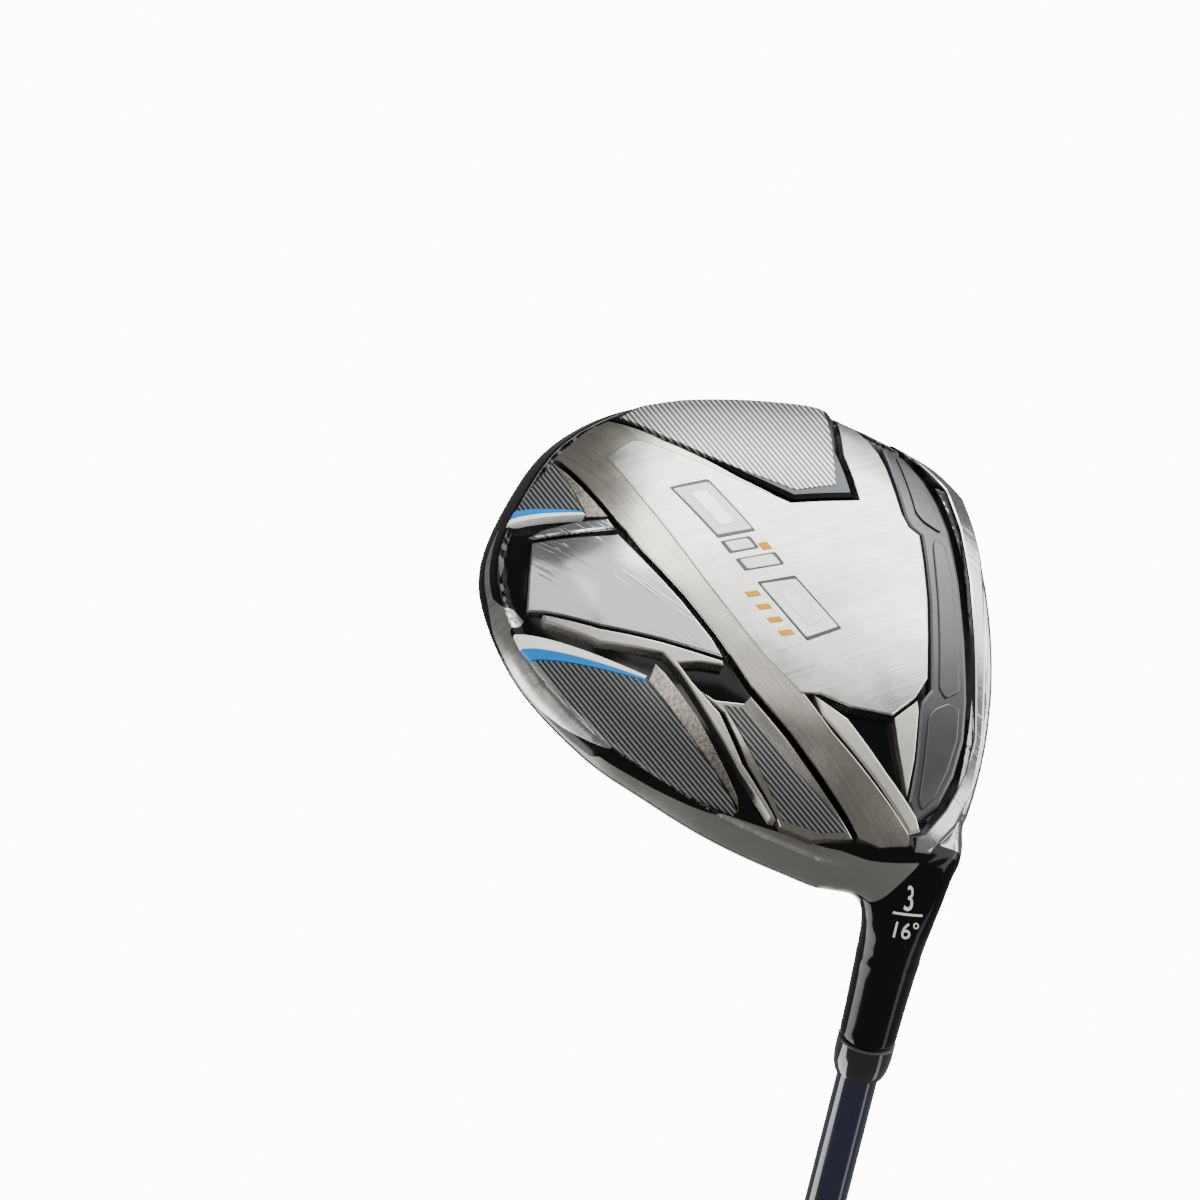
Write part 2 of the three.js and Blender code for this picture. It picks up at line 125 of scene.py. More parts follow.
@dataclass(frozen=True)
class Finish:
    """A real material and how it takes light.

    Attributes:
        name: The real material.
        slot: Slot of the record that it belongs to; not used.
        colour: Main sRGB colour.
        roughness: Mean roughness.
        metallic: 1 for bare metal.
        pattern: How it varies over the surface.
        second: Second sRGB colour, of lines or threads.
        pitch: Spacing of the pattern in millimetres.
        turn: Direction of the pattern's lines in plan, in degrees from +X.
        lean: How far the planes that draw the lines lean from upright, in degrees.
        relief: Height of the pattern in millimetres.
        wear: How far roughness wanders either way.
        sockets: Further sockets of the shader, set directly.
    """

    name: str
    slot: str
    colour: str
    roughness: float
    metallic: float = 0.0
    pattern: Pattern = Pattern.PLAIN
    second: str = "#000000"
    pitch: float = 1.0
    turn: float = 0.0
    lean: float = 0.0
    relief: float = 0.02
    wear: float = 0.04
    sockets: tuple[tuple[str, float], ...] = ()

    def shade(self, tree: bpy.types.NodeTree) -> bpy.types.Node:
        """Add this finish's shader to a tree.

        Args:
            tree: Tree that gets the nodes.

        Returns:
            The Principled node.
        """
        place = add_node(tree, "ShaderNodeTexCoord").outputs["Object"]
        along = add_node(
            tree,
            "ShaderNodeMapping",
            {"Rotation": (0.0, 0.0, -math.radians(self.turn)), "vector_type": "POINT"},
            {"Vector": place},
        ).outputs["Vector"]
        share, relief = PATTERNS[self.pattern](self, tree, along)
        haze = add_node(
            tree, "ShaderNodeTexNoise", {"Scale": 90.0, "Detail": 4.0, "Roughness": 0.6}, {"Vector": place}
        )
        rough = add_node(
            tree,
            "ShaderNodeMapRange",
            {
                "From Min": 0.3,
                "From Max": 0.7,
                "To Min": max(0.0, self.roughness - self.wear),
                "To Max": min(1.0, self.roughness + self.wear),
            },
            {"Value": haze.outputs["Fac"]},
        )
        shader = add_node(
            tree,
            "ShaderNodeBsdfPrincipled",
            {"Metallic": self.metallic, **dict(self.sockets)},
            {"Roughness": rough.outputs["Result"]},
        )
        if share is None:
            shader.inputs["Base Color"].default_value = linear_colour(self.colour)
        else:
            colours = {6: linear_colour(self.colour), 7: linear_colour(self.second)}
            mix = add_node(tree, "ShaderNodeMix", {"data_type": "RGBA", **colours}, {0: share})
            tree.links.new(mix.outputs[2], shader.inputs["Base Color"])
        if relief is not None:
            bump = add_node(
                tree,
                "ShaderNodeBump",
                {"Strength": 1.0, "Distance": self.relief * MM},
                {"Height": relief},
            )
            tree.links.new(bump.outputs["Normal"], shader.inputs["Normal"])
        return shader

    def material(self) -> bpy.types.Material:
        """Make the material, once for each finish.

        Returns:
            The material, named for the real one.
        """
        made = bpy.data.materials.get(self.name)
        if made is None:
            made = bpy.data.materials.new(self.name)
            made.use_nodes = True
            made.node_tree.nodes.clear()
            shader = self.shade(made.node_tree)
            output = add_node(made.node_tree, "ShaderNodeOutputMaterial")
            made.node_tree.links.new(shader.outputs[0], output.inputs["Surface"])
        return made


Drawing = tuple[bpy.types.NodeSocket | None, bpy.types.NodeSocket | None]


def stretched(
    tree: bpy.types.NodeTree, place: bpy.types.NodeSocket, scale: tuple[float, float, float], detail: float
) -> bpy.types.NodeSocket:
    """Add noise that is drawn out along an axis.

    Args:
        tree: Tree that gets the nodes.
        place: Coordinates.
        scale: Cells per metre along each axis.
        detail: Octaves.

    Returns:
        The noise's socket.
    """
    drawn = add_node(tree, "ShaderNodeMapping", {"Scale": scale}, {"Vector": place})
    noise = add_node(
        tree,
        "ShaderNodeTexNoise",
        {"Scale": 1.0, "Detail": detail, "Roughness": 0.65},
        {"Vector": drawn.outputs["Vector"]},
    )
    return noise.outputs["Fac"]


def plain(finish: Finish, tree: bpy.types.NodeTree, place: bpy.types.NodeSocket) -> Drawing:
    """Leave the colour even and the surface smooth."""
    return None, None


def scratched(finish: Finish, tree: bpy.types.NodeTree, place: bpy.types.NodeSocket) -> Drawing:
    """Draw sparse hairline scratches from play on bare metal.

    Args:
        finish: Finish that is drawn; not used.
        tree: Tree that gets the nodes.
        place: Coordinates in metres, turned so that X runs along the lines.

    Returns:
        Share of the second colour, and height; None where there is none.
    """
    hairs = stretched(tree, place, (25.0, 1400.0, 200.0), 2.0)
    gate = stretched(tree, place, (40.0, 60.0, 40.0), 2.0)
    fine = add_node(tree, "ShaderNodeMapRange", {"From Min": 0.58, "From Max": 0.66}, {"Value": hairs})
    patch = add_node(tree, "ShaderNodeMapRange", {"From Min": 0.46, "From Max": 0.6}, {"Value": gate})
    both = add_node(
        tree, "ShaderNodeMath", {"operation": "MULTIPLY"}, {0: fine.outputs[0], 1: patch.outputs[0]}
    )
    return both.outputs[0], both.outputs[0]


def brushed(finish: Finish, tree: bpy.types.NodeTree, place: bpy.types.NodeSocket) -> Drawing:
    """Draw the fine grain of a satin-finished casting.

    Args:
        finish: Finish that is drawn; not used.
        tree: Tree that gets the nodes.
        place: Coordinates in metres, turned so that X runs along the lines.

    Returns:
        Share of the second colour, and height; None where there is none.
    """
    grain = stretched(tree, place, (60.0, 2600.0, 600.0), 3.0)
    streak = stretched(tree, place, (28.0, 1300.0, 120.0), 4.0)
    cloud = stretched(tree, place, (60.0, 60.0, 60.0), 3.0)
    both = add_node(tree, "ShaderNodeMath", {"operation": "ADD"}, {0: streak, 1: cloud}).outputs[0]
    tone = add_node(tree, "ShaderNodeMapRange", {"From Min": 0.65, "From Max": 1.35}, {"Value": both})
    return tone.outputs["Result"], grain


def lines(finish: Finish, tree: bpy.types.NodeTree, place: bpy.types.NodeSocket) -> Drawing:
    """Draw even printed lines.

    Args:
        finish: Finish that is drawn.
        tree: Tree that gets the nodes.
        place: Coordinates in metres, turned so that X runs along the lines.

    Returns:
        Share of the second colour, and height; None where there is none.
    """
    lean, pitch = math.radians(finish.lean), finish.pitch * MM
    across = add_node(
        tree,
        "ShaderNodeVectorMath",
        {"operation": "DOT_PRODUCT", 1: (0.0, math.cos(lean), math.sin(lean))},
        {0: place},
    ).outputs["Value"]
    saw = add_node(tree, "ShaderNodeMath", {"operation": "PINGPONG", 1: pitch / 2}, {0: across}).outputs[0]
    edge = add_node(
        tree, "ShaderNodeMapRange", {"From Min": pitch * 0.26, "From Max": pitch * 0.34}, {"Value": saw}
    ).outputs["Result"]
    return edge, edge


def pebbled(finish: Finish, tree: bpy.types.NodeTree, place: bpy.types.NodeSocket) -> Drawing:
    """Draw the grit of a blasted or cast surface.

    Args:
        finish: Finish that is drawn.
        tree: Tree that gets the nodes.
        place: Coordinates in metres, turned so that X runs along the lines.

    Returns:
        Share of the second colour, and height; None where there is none.
    """
    scale = 1 / (finish.pitch * MM)
    grit = add_node(
        tree, "ShaderNodeTexNoise", {"Scale": scale, "Detail": 3.0, "Roughness": 0.7}, {"Vector": place}
    ).outputs["Fac"]
    speck = add_node(tree, "ShaderNodeMapRange", {"From Min": 0.4, "From Max": 0.66}, {"Value": grit})
    return speck.outputs["Result"], grit


def weave(finish: Finish, tree: bpy.types.NodeTree, place: bpy.types.NodeSocket) -> Drawing:
    """Draw the tows of woven carbon under clear lacquer.

    Args:
        finish: Finish that is drawn.
        tree: Tree that gets the nodes.
        place: Coordinates in metres, turned so that X runs along the lines.

    Returns:
        Share of the second colour, and height; None where there is none.
    """
    scale = 1 / (finish.pitch * MM)
    cells = add_node(tree, "ShaderNodeTexChecker", {"Scale": scale}, {"Vector": place}).outputs["Fac"]
    tow = stretched(tree, place, (300.0, 3000.0, 10.0), 1.0)
    both = add_node(tree, "ShaderNodeMath", {"operation": "MULTIPLY"}, {0: cells, 1: tow})
    return both.outputs[0], None


def diamonds(finish: Finish, tree: bpy.types.NodeTree, place: bpy.types.NodeSocket) -> Drawing:
    """Draw the moulded tread of a rubber grip.

    Args:
        finish: Finish that is drawn.
        tree: Tree that gets the nodes.
        place: Coordinates in metres, turned so that X runs along the lines.

    Returns:
        Share of the second colour, and height; None where there is none.
    """
    scale = 1 / (finish.pitch * MM)
    cells = add_node(
        tree, "ShaderNodeTexVoronoi", {"Scale": scale, "Randomness": 0.0}, {"Vector": place}
    ).outputs["Distance"]
    tread = add_node(
        tree, "ShaderNodeMapRange", {"From Min": 0.25, "From Max": 0.55}, {"Value": cells}
    ).outputs["Result"]
    return tread, tread


PATTERNS: dict[Pattern, Callable[[Finish, bpy.types.NodeTree, bpy.types.NodeSocket], Drawing]] = {
    Pattern.PLAIN: plain,
    Pattern.SCRATCHED: scratched,
    Pattern.BRUSHED: brushed,
    Pattern.LINES: lines,
    Pattern.PEBBLED: pebbled,
    Pattern.WEAVE: weave,
    Pattern.DIAMONDS: diamonds,
}

# Direction of the sole's diagonal strip, which its lines and scratches follow
DIAGONAL = -39.3
# Lean of the planes that draw the badge lines, which keeps them straight over the rising edge
LEAN = 30.7

GLOSS = (("Coat Weight", 1.0), ("Coat Roughness", 0.03))

# Mirror-polished cast steel: sharp reflections under hairline scratches
MIRROR_STEEL = Finish(
    "polished cast steel", "cast_head", "#c4c7ca", 0.15, 1.0, Pattern.SCRATCHED, "#8a8d90", turn=-53.0
)
# Satin cast steel: soft light reflections with a faint warm cloud
SATIN_STEEL = Finish(
    "satin cast steel", "cast_head", "#d6d6d4", 0.25, 1.0, Pattern.BRUSHED, "#a9a69e", turn=62.0,
    relief=0.006, wear=0.07,
)
# Smoked plating: the same steel under a darker, warmer tint
SMOKED_STEEL = Finish(
    "smoke plated steel", "cast_head", "#c6c2b8", 0.22, 1.0, Pattern.BRUSHED, "#a29d92", turn=DIAGONAL,
    relief=0.004,
)
# Satin enamel of the skirt: flat warm grey with a dull sheen
SKIRT_ENAMEL = Finish("satin grey enamel", "cast_head", "#7b7a74", 0.34, 0.75, wear=0.05)
# Black gloss enamel: near black with tight highlights
BLACK_ENAMEL = Finish(
    "black gloss enamel", "cast_head", "#030303", 0.1, sockets=(("Specular IOR Level", 0.3),)
)
# Blasted steel of the bevels: dull grit that sparkles a little
BLASTED_STEEL = Finish(
    "blasted steel", "cast_head", "#8b867c", 0.36, 1.0, Pattern.PEBBLED, "#c9c1b2", pitch=0.7, relief=0.05
)
# Linished steel of the ridges: dull bright edges that catch light from every side
RIDGE_STEEL = Finish(
    "linished steel", "cast_head", "#d6d4cf", 0.42, 1.0, Pattern.BRUSHED, "#c2bdb2", turn=DIAGONAL,
    relief=0.004,
)
# Dark chrome round the toe badge: smooth smoky bevels; under the sole's bars it is painted shadow
DARK_CHROME = Finish("dark chrome", "bright_badge", "#3c3e40", 0.25, 1.0)
# Printed film of the toe badge: bright hairlines on grey
# The printed lines are finer than this and would melt together, so they are drawn coarser
BRIGHT_FILM = Finish(
    "bright lined badge film", "bright_badge", "#5d605f", 0.3, 0.6, Pattern.LINES, "#d8dad6",
    pitch=0.85, turn=DIAGONAL, lean=LEAN, relief=0.03,
)
# Printed film of the dark badges: thin grey lines on charcoal
DARK_FILM = Finish(
    "dark lined badge film", "dark_badge", "#2a2a2c", 0.32, 0.4, Pattern.LINES, "#737576",
    pitch=0.85, turn=DIAGONAL, lean=LEAN, relief=0.04,
)
# Blue paint fill: saturated, with a dull sheen
BLUE_PAINT = Finish(
    "blue badge paint", "dark_badge", "#0070b8", 0.4, sockets=(("Specular IOR Level", 0.12),)
)
# White paint fill: clean and slightly glossy
WHITE_PAINT = Finish("white badge paint", "dark_badge", "#e6e6e4", 0.35)
# Numerals: thin grey screen print
NUMERAL_PAINT = Finish("grey screen print", "cast_head", "#b4b3ae", 0.45)
# Yellow paint fill: matt and deep
YELLOW_PAINT = Finish(
    "yellow paint fill", "cast_head", "#c48a00", 0.45, sockets=(("Specular IOR Level", 0.12),)
)
# Slot insert: smooth dark urethane with a soft sheen
INSERT_RUBBER = Finish(
    "slot urethane", "slot_rubber", "#1f2023", 0.34, 0.0, Pattern.PEBBLED, "#222327", pitch=2.5,
    relief=0.01, sockets=(("Specular IOR Level", 0.7), ("Coat Weight", 0.35), ("Coat Roughness", 0.25)),
)
# Carbon crown: black weave under thick clear lacquer
CARBON_CROWN = Finish(
    "lacquered carbon weave", "carbon_crown", "#08090a", 0.32, 0.3, Pattern.WEAVE, "#3a3d42",
    pitch=1.6, turn=45.0, sockets=GLOSS,
)
# Face steel: milled satin that glows softly
FACE_STEEL = Finish(
    "milled face steel", "forged_face", "#8d8f92", 0.34, 1.0, Pattern.BRUSHED, "#9a9b9c", relief=0.006
)
# Score line paint: flat white in the grooves
SCORE_PAINT = Finish("score line paint", "forged_face", "#e6e6e2", 0.5)
# Ferrule: turned black plastic, polished
FERRULE_PLASTIC = Finish("black ferrule plastic", "ferrule_plastic", "#070708", 0.1, sockets=GLOSS)
# Ring on the ferrule: dull grey satin trim
RING_TRIM = Finish("grey ferrule trim", "ferrule_plastic", "#6b6c6a", 0.35, 0.6)
# Shaft: near-black navy lacquer, glossy
SHAFT_LACQUER = Finish("navy shaft lacquer", "shaft_lacquer", "#070c24", 0.14, sockets=GLOSS)
# Shaft bands: silver lacquer
BAND_LACQUER = Finish("silver shaft lacquer", "shaft_lacquer", "#a9adb4", 0.25, 0.7, sockets=GLOSS)
# Grip: moulded rubber, matt with a dusty tread
GRIP_RUBBER = Finish(
    "moulded grip rubber", "grip_rubber", "#141416", 0.62, 0.0, Pattern.DIAMONDS, "#1e1e20", pitch=2.6,
    relief=0.35,
)
# Butt cap: smoother rubber
CAP_RUBBER = Finish("butt cap rubber", "grip_rubber", "#111113", 0.5)
# Hot melt inside the head: amber and waxy
HOT_MELT = Finish("hot melt", "hot_melt", "#d8c98a", 0.5, sockets=(("Subsurface Weight", 0.2),))
# Tip plug: pale cork
CORK = Finish("cork plug", "tip_plug", "#c8b48c", 0.8, 0.0, Pattern.PEBBLED, "#a88f60", pitch=0.8)
# Grip tape: creped paper
PAPER_TAPE = Finish("creped grip tape", "tape", "#d9d2c0", 0.8, 0.0, Pattern.BRUSHED, "#cfc6b0")


@dataclass
class HeadShape:
    """The head's outer form, as functions of plan position.

    Attributes:
        length: Toe to heel, across the crown edge.
        breadth: Leading edge to the back.
        crown_height: Top of the crown above the ground.
        edge_height: Crown edge above the ground.
        skirt_height: Wall under the crown edge.
        skirt_foot: Foot of the skirt as a share of the way out.
        sole_pad: Flat pad as a share of the way out.
        loft: Face to the vertical, in degrees.
        leading_edge: Leading edge's place along Y.
        leading_height: Height of the leading edge above the ground.
        face_middle: Height of the face's middle.
        face_bulge: Twice the radius of the face's bow from toe to heel.
        face_roll: Twice the radius of its bow from sole to crown.
        edge_points: Crown edge, in percent of length and breadth.
        radii: Radius of the crown edge at even turns, sampled from its points.
    """

    length: float = 111 * MM
    breadth: float = 105 * MM
    crown_height: float = 36 * MM
    edge_height: float = 20.5 * MM
    skirt_height: float = 6 * MM
    skirt_foot: float = 0.965
    sole_pad: float = 0.09
    loft: float = 16.0
    leading_edge: float = -42.84 * MM
    leading_height: float = 4 * MM
    face_middle: float = 19.5 * MM
    face_bulge: float = 0.44
    face_roll: float = 0.52
    edge_points: Outline = field(
        default_factory=lambda: [
            (-56, -3.5), (-54, -12), (-48.6, -26), (-41, -39), (-25, -53), (0, -59.5), (20, -55),
            (34, -43.5), (42.5, -29), (45.3, -13), (42.5, -0.5), (37.5, 13.5), (30.8, 26.5), (23.7, 38.3),
            (11, 51.2), (-3, 58.2), (-14.4, 59.2), (-29.3, 53.6), (-41, 46), (-49.8, 33.5), (-54.3, 17),
        ]
    )
    radii: list[float] = field(default_factory=list)

    def __post_init__(self) -> None:
        """Sample the crown edge's radius at even turns."""
        points = [Vector((x * self.length, y * self.breadth)) / 100 for x, y in self.edge_points]
        count, steps = len(points), 24
        polar = []
        for i in range(count):
            a, b, c, d = (points[(i + k) % count] for k in (-1, 0, 1, 2))
            for k in range(steps):
                t = k / steps
                p = (
                    2 * b + (c - a) * t + (2 * a - 5 * b + 4 * c - d) * t * t
                    + (3 * b - 3 * c + d - a) * t**3
                ) / 2
                polar.append((math.atan2(p.y, p.x) % math.tau, p.length))
        polar.sort()
        polar = [(polar[-1][0] - math.tau, polar[-1][1]), *polar, (polar[0][0] + math.tau, polar[0][1])]
        samples, at = 1440, 0
        for k in range(samples):
            turn = k / samples * math.tau
            while polar[at + 1][0] < turn:
                at += 1
            (t0, r0), (t1, r1) = polar[at], polar[at + 1]
            self.radii.append(r0 + (r1 - r0) * (turn - t0) / (t1 - t0))

    def edge(self, turn: float) -> float:
        """Find the crown edge's radius in plan.

        Args:
            turn: Angle from +X, in radians.

        Returns:
            Radius in metres.
        """
        place = (turn % math.tau) / math.tau * len(self.radii)
        low = int(place) % len(self.radii)
        high = (low + 1) % len(self.radii)
        return self.radii[low] + (self.radii[high] - self.radii[low]) * (place - int(place))

    def share(self, x: float, y: float) -> float:
        """Find how far out a plan point is, as a share of the crown edge's radius."""
        return math.hypot(x, y) / self.edge(math.atan2(y, x))

    def sole_height(self, share: float) -> float:
        """Height of the sole at a share of the way out."""
        reach = min(1.0, max(0.0, (share / self.skirt_foot - self.sole_pad) / (1 - self.sole_pad)))
        return (self.edge_height - self.skirt_height) * (1 - (1 - reach**2.6) ** (1 / 1.5))

    def crown_rise(self, share: float) -> float:
        """Height of the crown at a share of the way out."""
        dome = max(0.0, 1 - share**2.2) ** (1 / 1.3)
        return self.edge_height + (self.crown_height - self.edge_height) * dome

    def face_front(self, x: float, z: float) -> float:
        """Find where the face's surface is.

        Args:
            x: Place across the face, in metres.
            z: Height, in metres.

        Returns:
            Its place along Y, in metres.
        """
        loft = math.radians(self.loft)
        up = (z - self.face_middle) / math.cos(loft)
        bow = (x * x / self.face_bulge + up * up / self.face_roll) / math.cos(loft)
        return self.leading_edge + (z - self.leading_height) * math.tan(loft) + bow


SHAPE = HeadShape()
LIE = math.radians(58.5)
SHAFT_FOOT = Vector((35.8, -26.74, 0)) * MM
# Local +Z runs from the ground up the shaft, local +Y to the back of the head
SHAFT_LINE = Matrix.Translation(SHAFT_FOOT) @ Matrix.Rotation(math.pi / 2 - LIE, 4, "Y")


# Trim on the sole stops at this share of the way out, just inside the skirt's foot
TRIM_END = 0.96


def on_sole(u: float, v: float, w: float) -> Vector:
    """Lay a flat point on the sole, short of the skirt's foot.

    Args:
        u: Place along X in plan.
        v: Place along Y in plan.
        w: How far it stands out of the sole.

    Returns:
        The laid point.
    """
    share = SHAPE.share(u, v)
    reach = min(1.0, TRIM_END / share) if share else 1.0
    return Vector((u * reach, v * reach, SHAPE.sole_height(share * reach) - w))


def on_crown(u: float, v: float, w: float) -> Vector:
    """Lay a flat point on the crown; w stands out of it."""
    return Vector((u, v, SHAPE.crown_rise(SHAPE.share(u, v)) + w))


def on_face(u: float, v: float, w: float) -> Vector:
    """Lay a flat point on the face.

    Args:
        u: Place across the face.
        v: Place up the face from its middle.
        w: How far it stands out of the face.

    Returns:
        The laid point.
    """
    tilt = math.radians(SHAPE.loft)
    z = SHAPE.face_middle + v * math.cos(tilt)
    out = Vector((0, -math.cos(tilt), math.sin(tilt)))
    return Vector((u, SHAPE.face_front(u, z), z)) + out * w


Surface = Callable[[float, float, float], Vector]


def placed(name: str, data: bpy.types.ID) -> bpy.types.Object:
    """Make an object of some data and put it in the scene."""
    made = bpy.data.objects.new(name, data)
    bpy.context.scene.collection.objects.link(made)
    return made


def smooth(bm: bmesh.types.BMesh, verts: list[bmesh.types.BMVert], rounds: int) -> None:
    """Draw vertices halfway to their neighbours' middle, some number of times.

    Args:
        bm: Mesh that holds them.
        verts: Vertices to smooth.
        rounds: How many times.
    """
    for _ in range(rounds):
        bmesh.ops.smooth_vert(
            bm, verts=verts, factor=0.5, use_axis_x=True, use_axis_y=True, use_axis_z=True
        )


def finished(
    name: str, bm: bmesh.types.BMesh, finish: Finish, nodes: Iterable[str] = (), crease: float = 12.0
) -> bpy.types.Object:
    """Turn a bmesh into a finished piece that rides on the head.

    Args:
        name: Name of the piece.
        bm: Its shape in metres; freed here.
        finish: Its finish.
        nodes: CAD nodes that it stands for.
        crease: Angle in degrees above which an edge stays sharp.

    Returns:
        The object.
    """
    for face in bm.faces:
        face.smooth = True
    for edge in bm.edges:
        edge.smooth = edge.calc_face_angle(math.pi) < math.radians(crease)
    mesh = bpy.data.meshes.new(name)
    bm.to_mesh(mesh)
    bm.free()
    piece = placed(name, mesh)
    mesh.materials.append(finish.material())
    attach(piece, "root")
    if nodes:
        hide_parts(*nodes)
    log.info("%s: %d faces, %s", name, len(mesh.polygons), finish.name)
    return piece


def slice_evenly(bm: bmesh.types.BMesh, step: float) -> None:
    """Cut a flat shape along even lines in plan, so that it can follow a curved surface.

    Args:
        bm: Shape to cut.
        step: Spacing of the cuts in metres.
    """
    for axis in (0, 1):
        places = [v.co[axis] for v in bm.verts]
        first, last = math.floor(min(places) / step) + 1, math.ceil(max(places) / step)
        for k in range(first, last):
            co, no = Vector(), Vector()
            co[axis], no[axis] = k * step, 1.0
            geom = bm.verts[:] + bm.edges[:] + bm.faces[:]
            bmesh.ops.bisect_plane(bm, geom=geom, dist=1e-6, plane_co=co, plane_no=no)


def lay(bm: bmesh.types.BMesh, surface: Surface, step: float) -> None:
    """Cut a flat shape evenly and lay it on a surface.

    Args:
        bm: Flat shape in metres, whose Z stands out of the surface.
        surface: Surface to lay it on.
        step: Spacing of the cuts in metres.
    """
    slice_evenly(bm, step)
    for vert in bm.verts:
        vert.co = surface(*vert.co)
    bmesh.ops.recalc_face_normals(bm, faces=bm.faces[:])


def spread(outline: Outline, distance: float) -> Outline:
    """Move the corners of an outline away from its middle.

    Args:
        outline: Corners in plan.
        distance: How far each corner moves, in millimetres.

    Returns:
        The larger outline.
    """
    corners = [Vector(corner) for corner in outline]
    middle = sum(corners, Vector((0, 0))) / len(corners)
    moved = [corner + (corner - middle).normalized() * distance for corner in corners]
    return [(corner.x, corner.y) for corner in moved]


@dataclass
class Plate:
    """A flat piece of trim, cut in plan and laid on a curved surface. Sizes are in millimetres.

    Attributes:
        name: Name of the piece.
        outline: Its corners in plan.
        finish: Its finish.
        rise: How far its top stands out of the surface.
        depth: Its thickness.
        bevel: Width of the bevel round its top.
        corner: Radius of its corners in plan.
        slope: Rise per millimetre along X and Y, away from its first corner.
        segments: Steps of the bevel.
        surface: Surface that it lies on.
        nodes: CAD nodes that it stands for.
        step: Spacing of the cuts that let it bend.
    """

    name: str
    outline: Outline
    finish: Finish
    rise: float = 0.0
    depth: float = 3.2
    bevel: float = 0.25
    corner: float = 0.0
    slope: tuple[float, float] = (0.0, 0.0)
    segments: int = 2
    surface: Surface = on_sole
    nodes: tuple[str, ...] = ()
    step: float = 1.6

    def build(self) -> bpy.types.Object:
        """Cut, bevel, bend and finish the plate.

        Returns:
            The object.
        """
        bm = bmesh.new()
        bm.faces.new([bm.verts.new((x * MM, y * MM, 0)) for x, y in self.outline])
        if self.corner:
            bmesh.ops.bevel(
                bm, geom=bm.verts[:], offset=self.corner * MM, offset_type="OFFSET", segments=4,
                profile=0.5, affect="VERTICES", material=-1,
            )
        raised = bmesh.ops.extrude_face_region(bm, geom=bm.faces[:])["geom"]
        top = [g for g in raised if isinstance(g, bmesh.types.BMVert)]
        bmesh.ops.translate(bm, verts=top, vec=(0, 0, self.depth * MM))
        bmesh.ops.recalc_face_normals(bm, faces=bm.faces[:])
        if self.bevel:
            rim = [e for e in bm.edges if all(v.co.z > self.depth * MM / 2 for v in e.verts)]
            bmesh.ops.bevel(
                bm, geom=rim, offset=self.bevel * MM, offset_type="OFFSET", segments=self.segments,
                profile=0.5, affect="EDGES", material=-1, clamp_overlap=True,
            )
        x0, y0 = (c * MM for c in self.outline[0])
        for vert in bm.verts:
            vert.co.z += (self.rise - self.depth) * MM
            vert.co.z += self.slope[0] * (vert.co.x - x0) + self.slope[1] * (vert.co.y - y0)
        lay(bm, self.surface, self.step * MM)
        return finished(self.name, bm, self.finish, self.nodes)


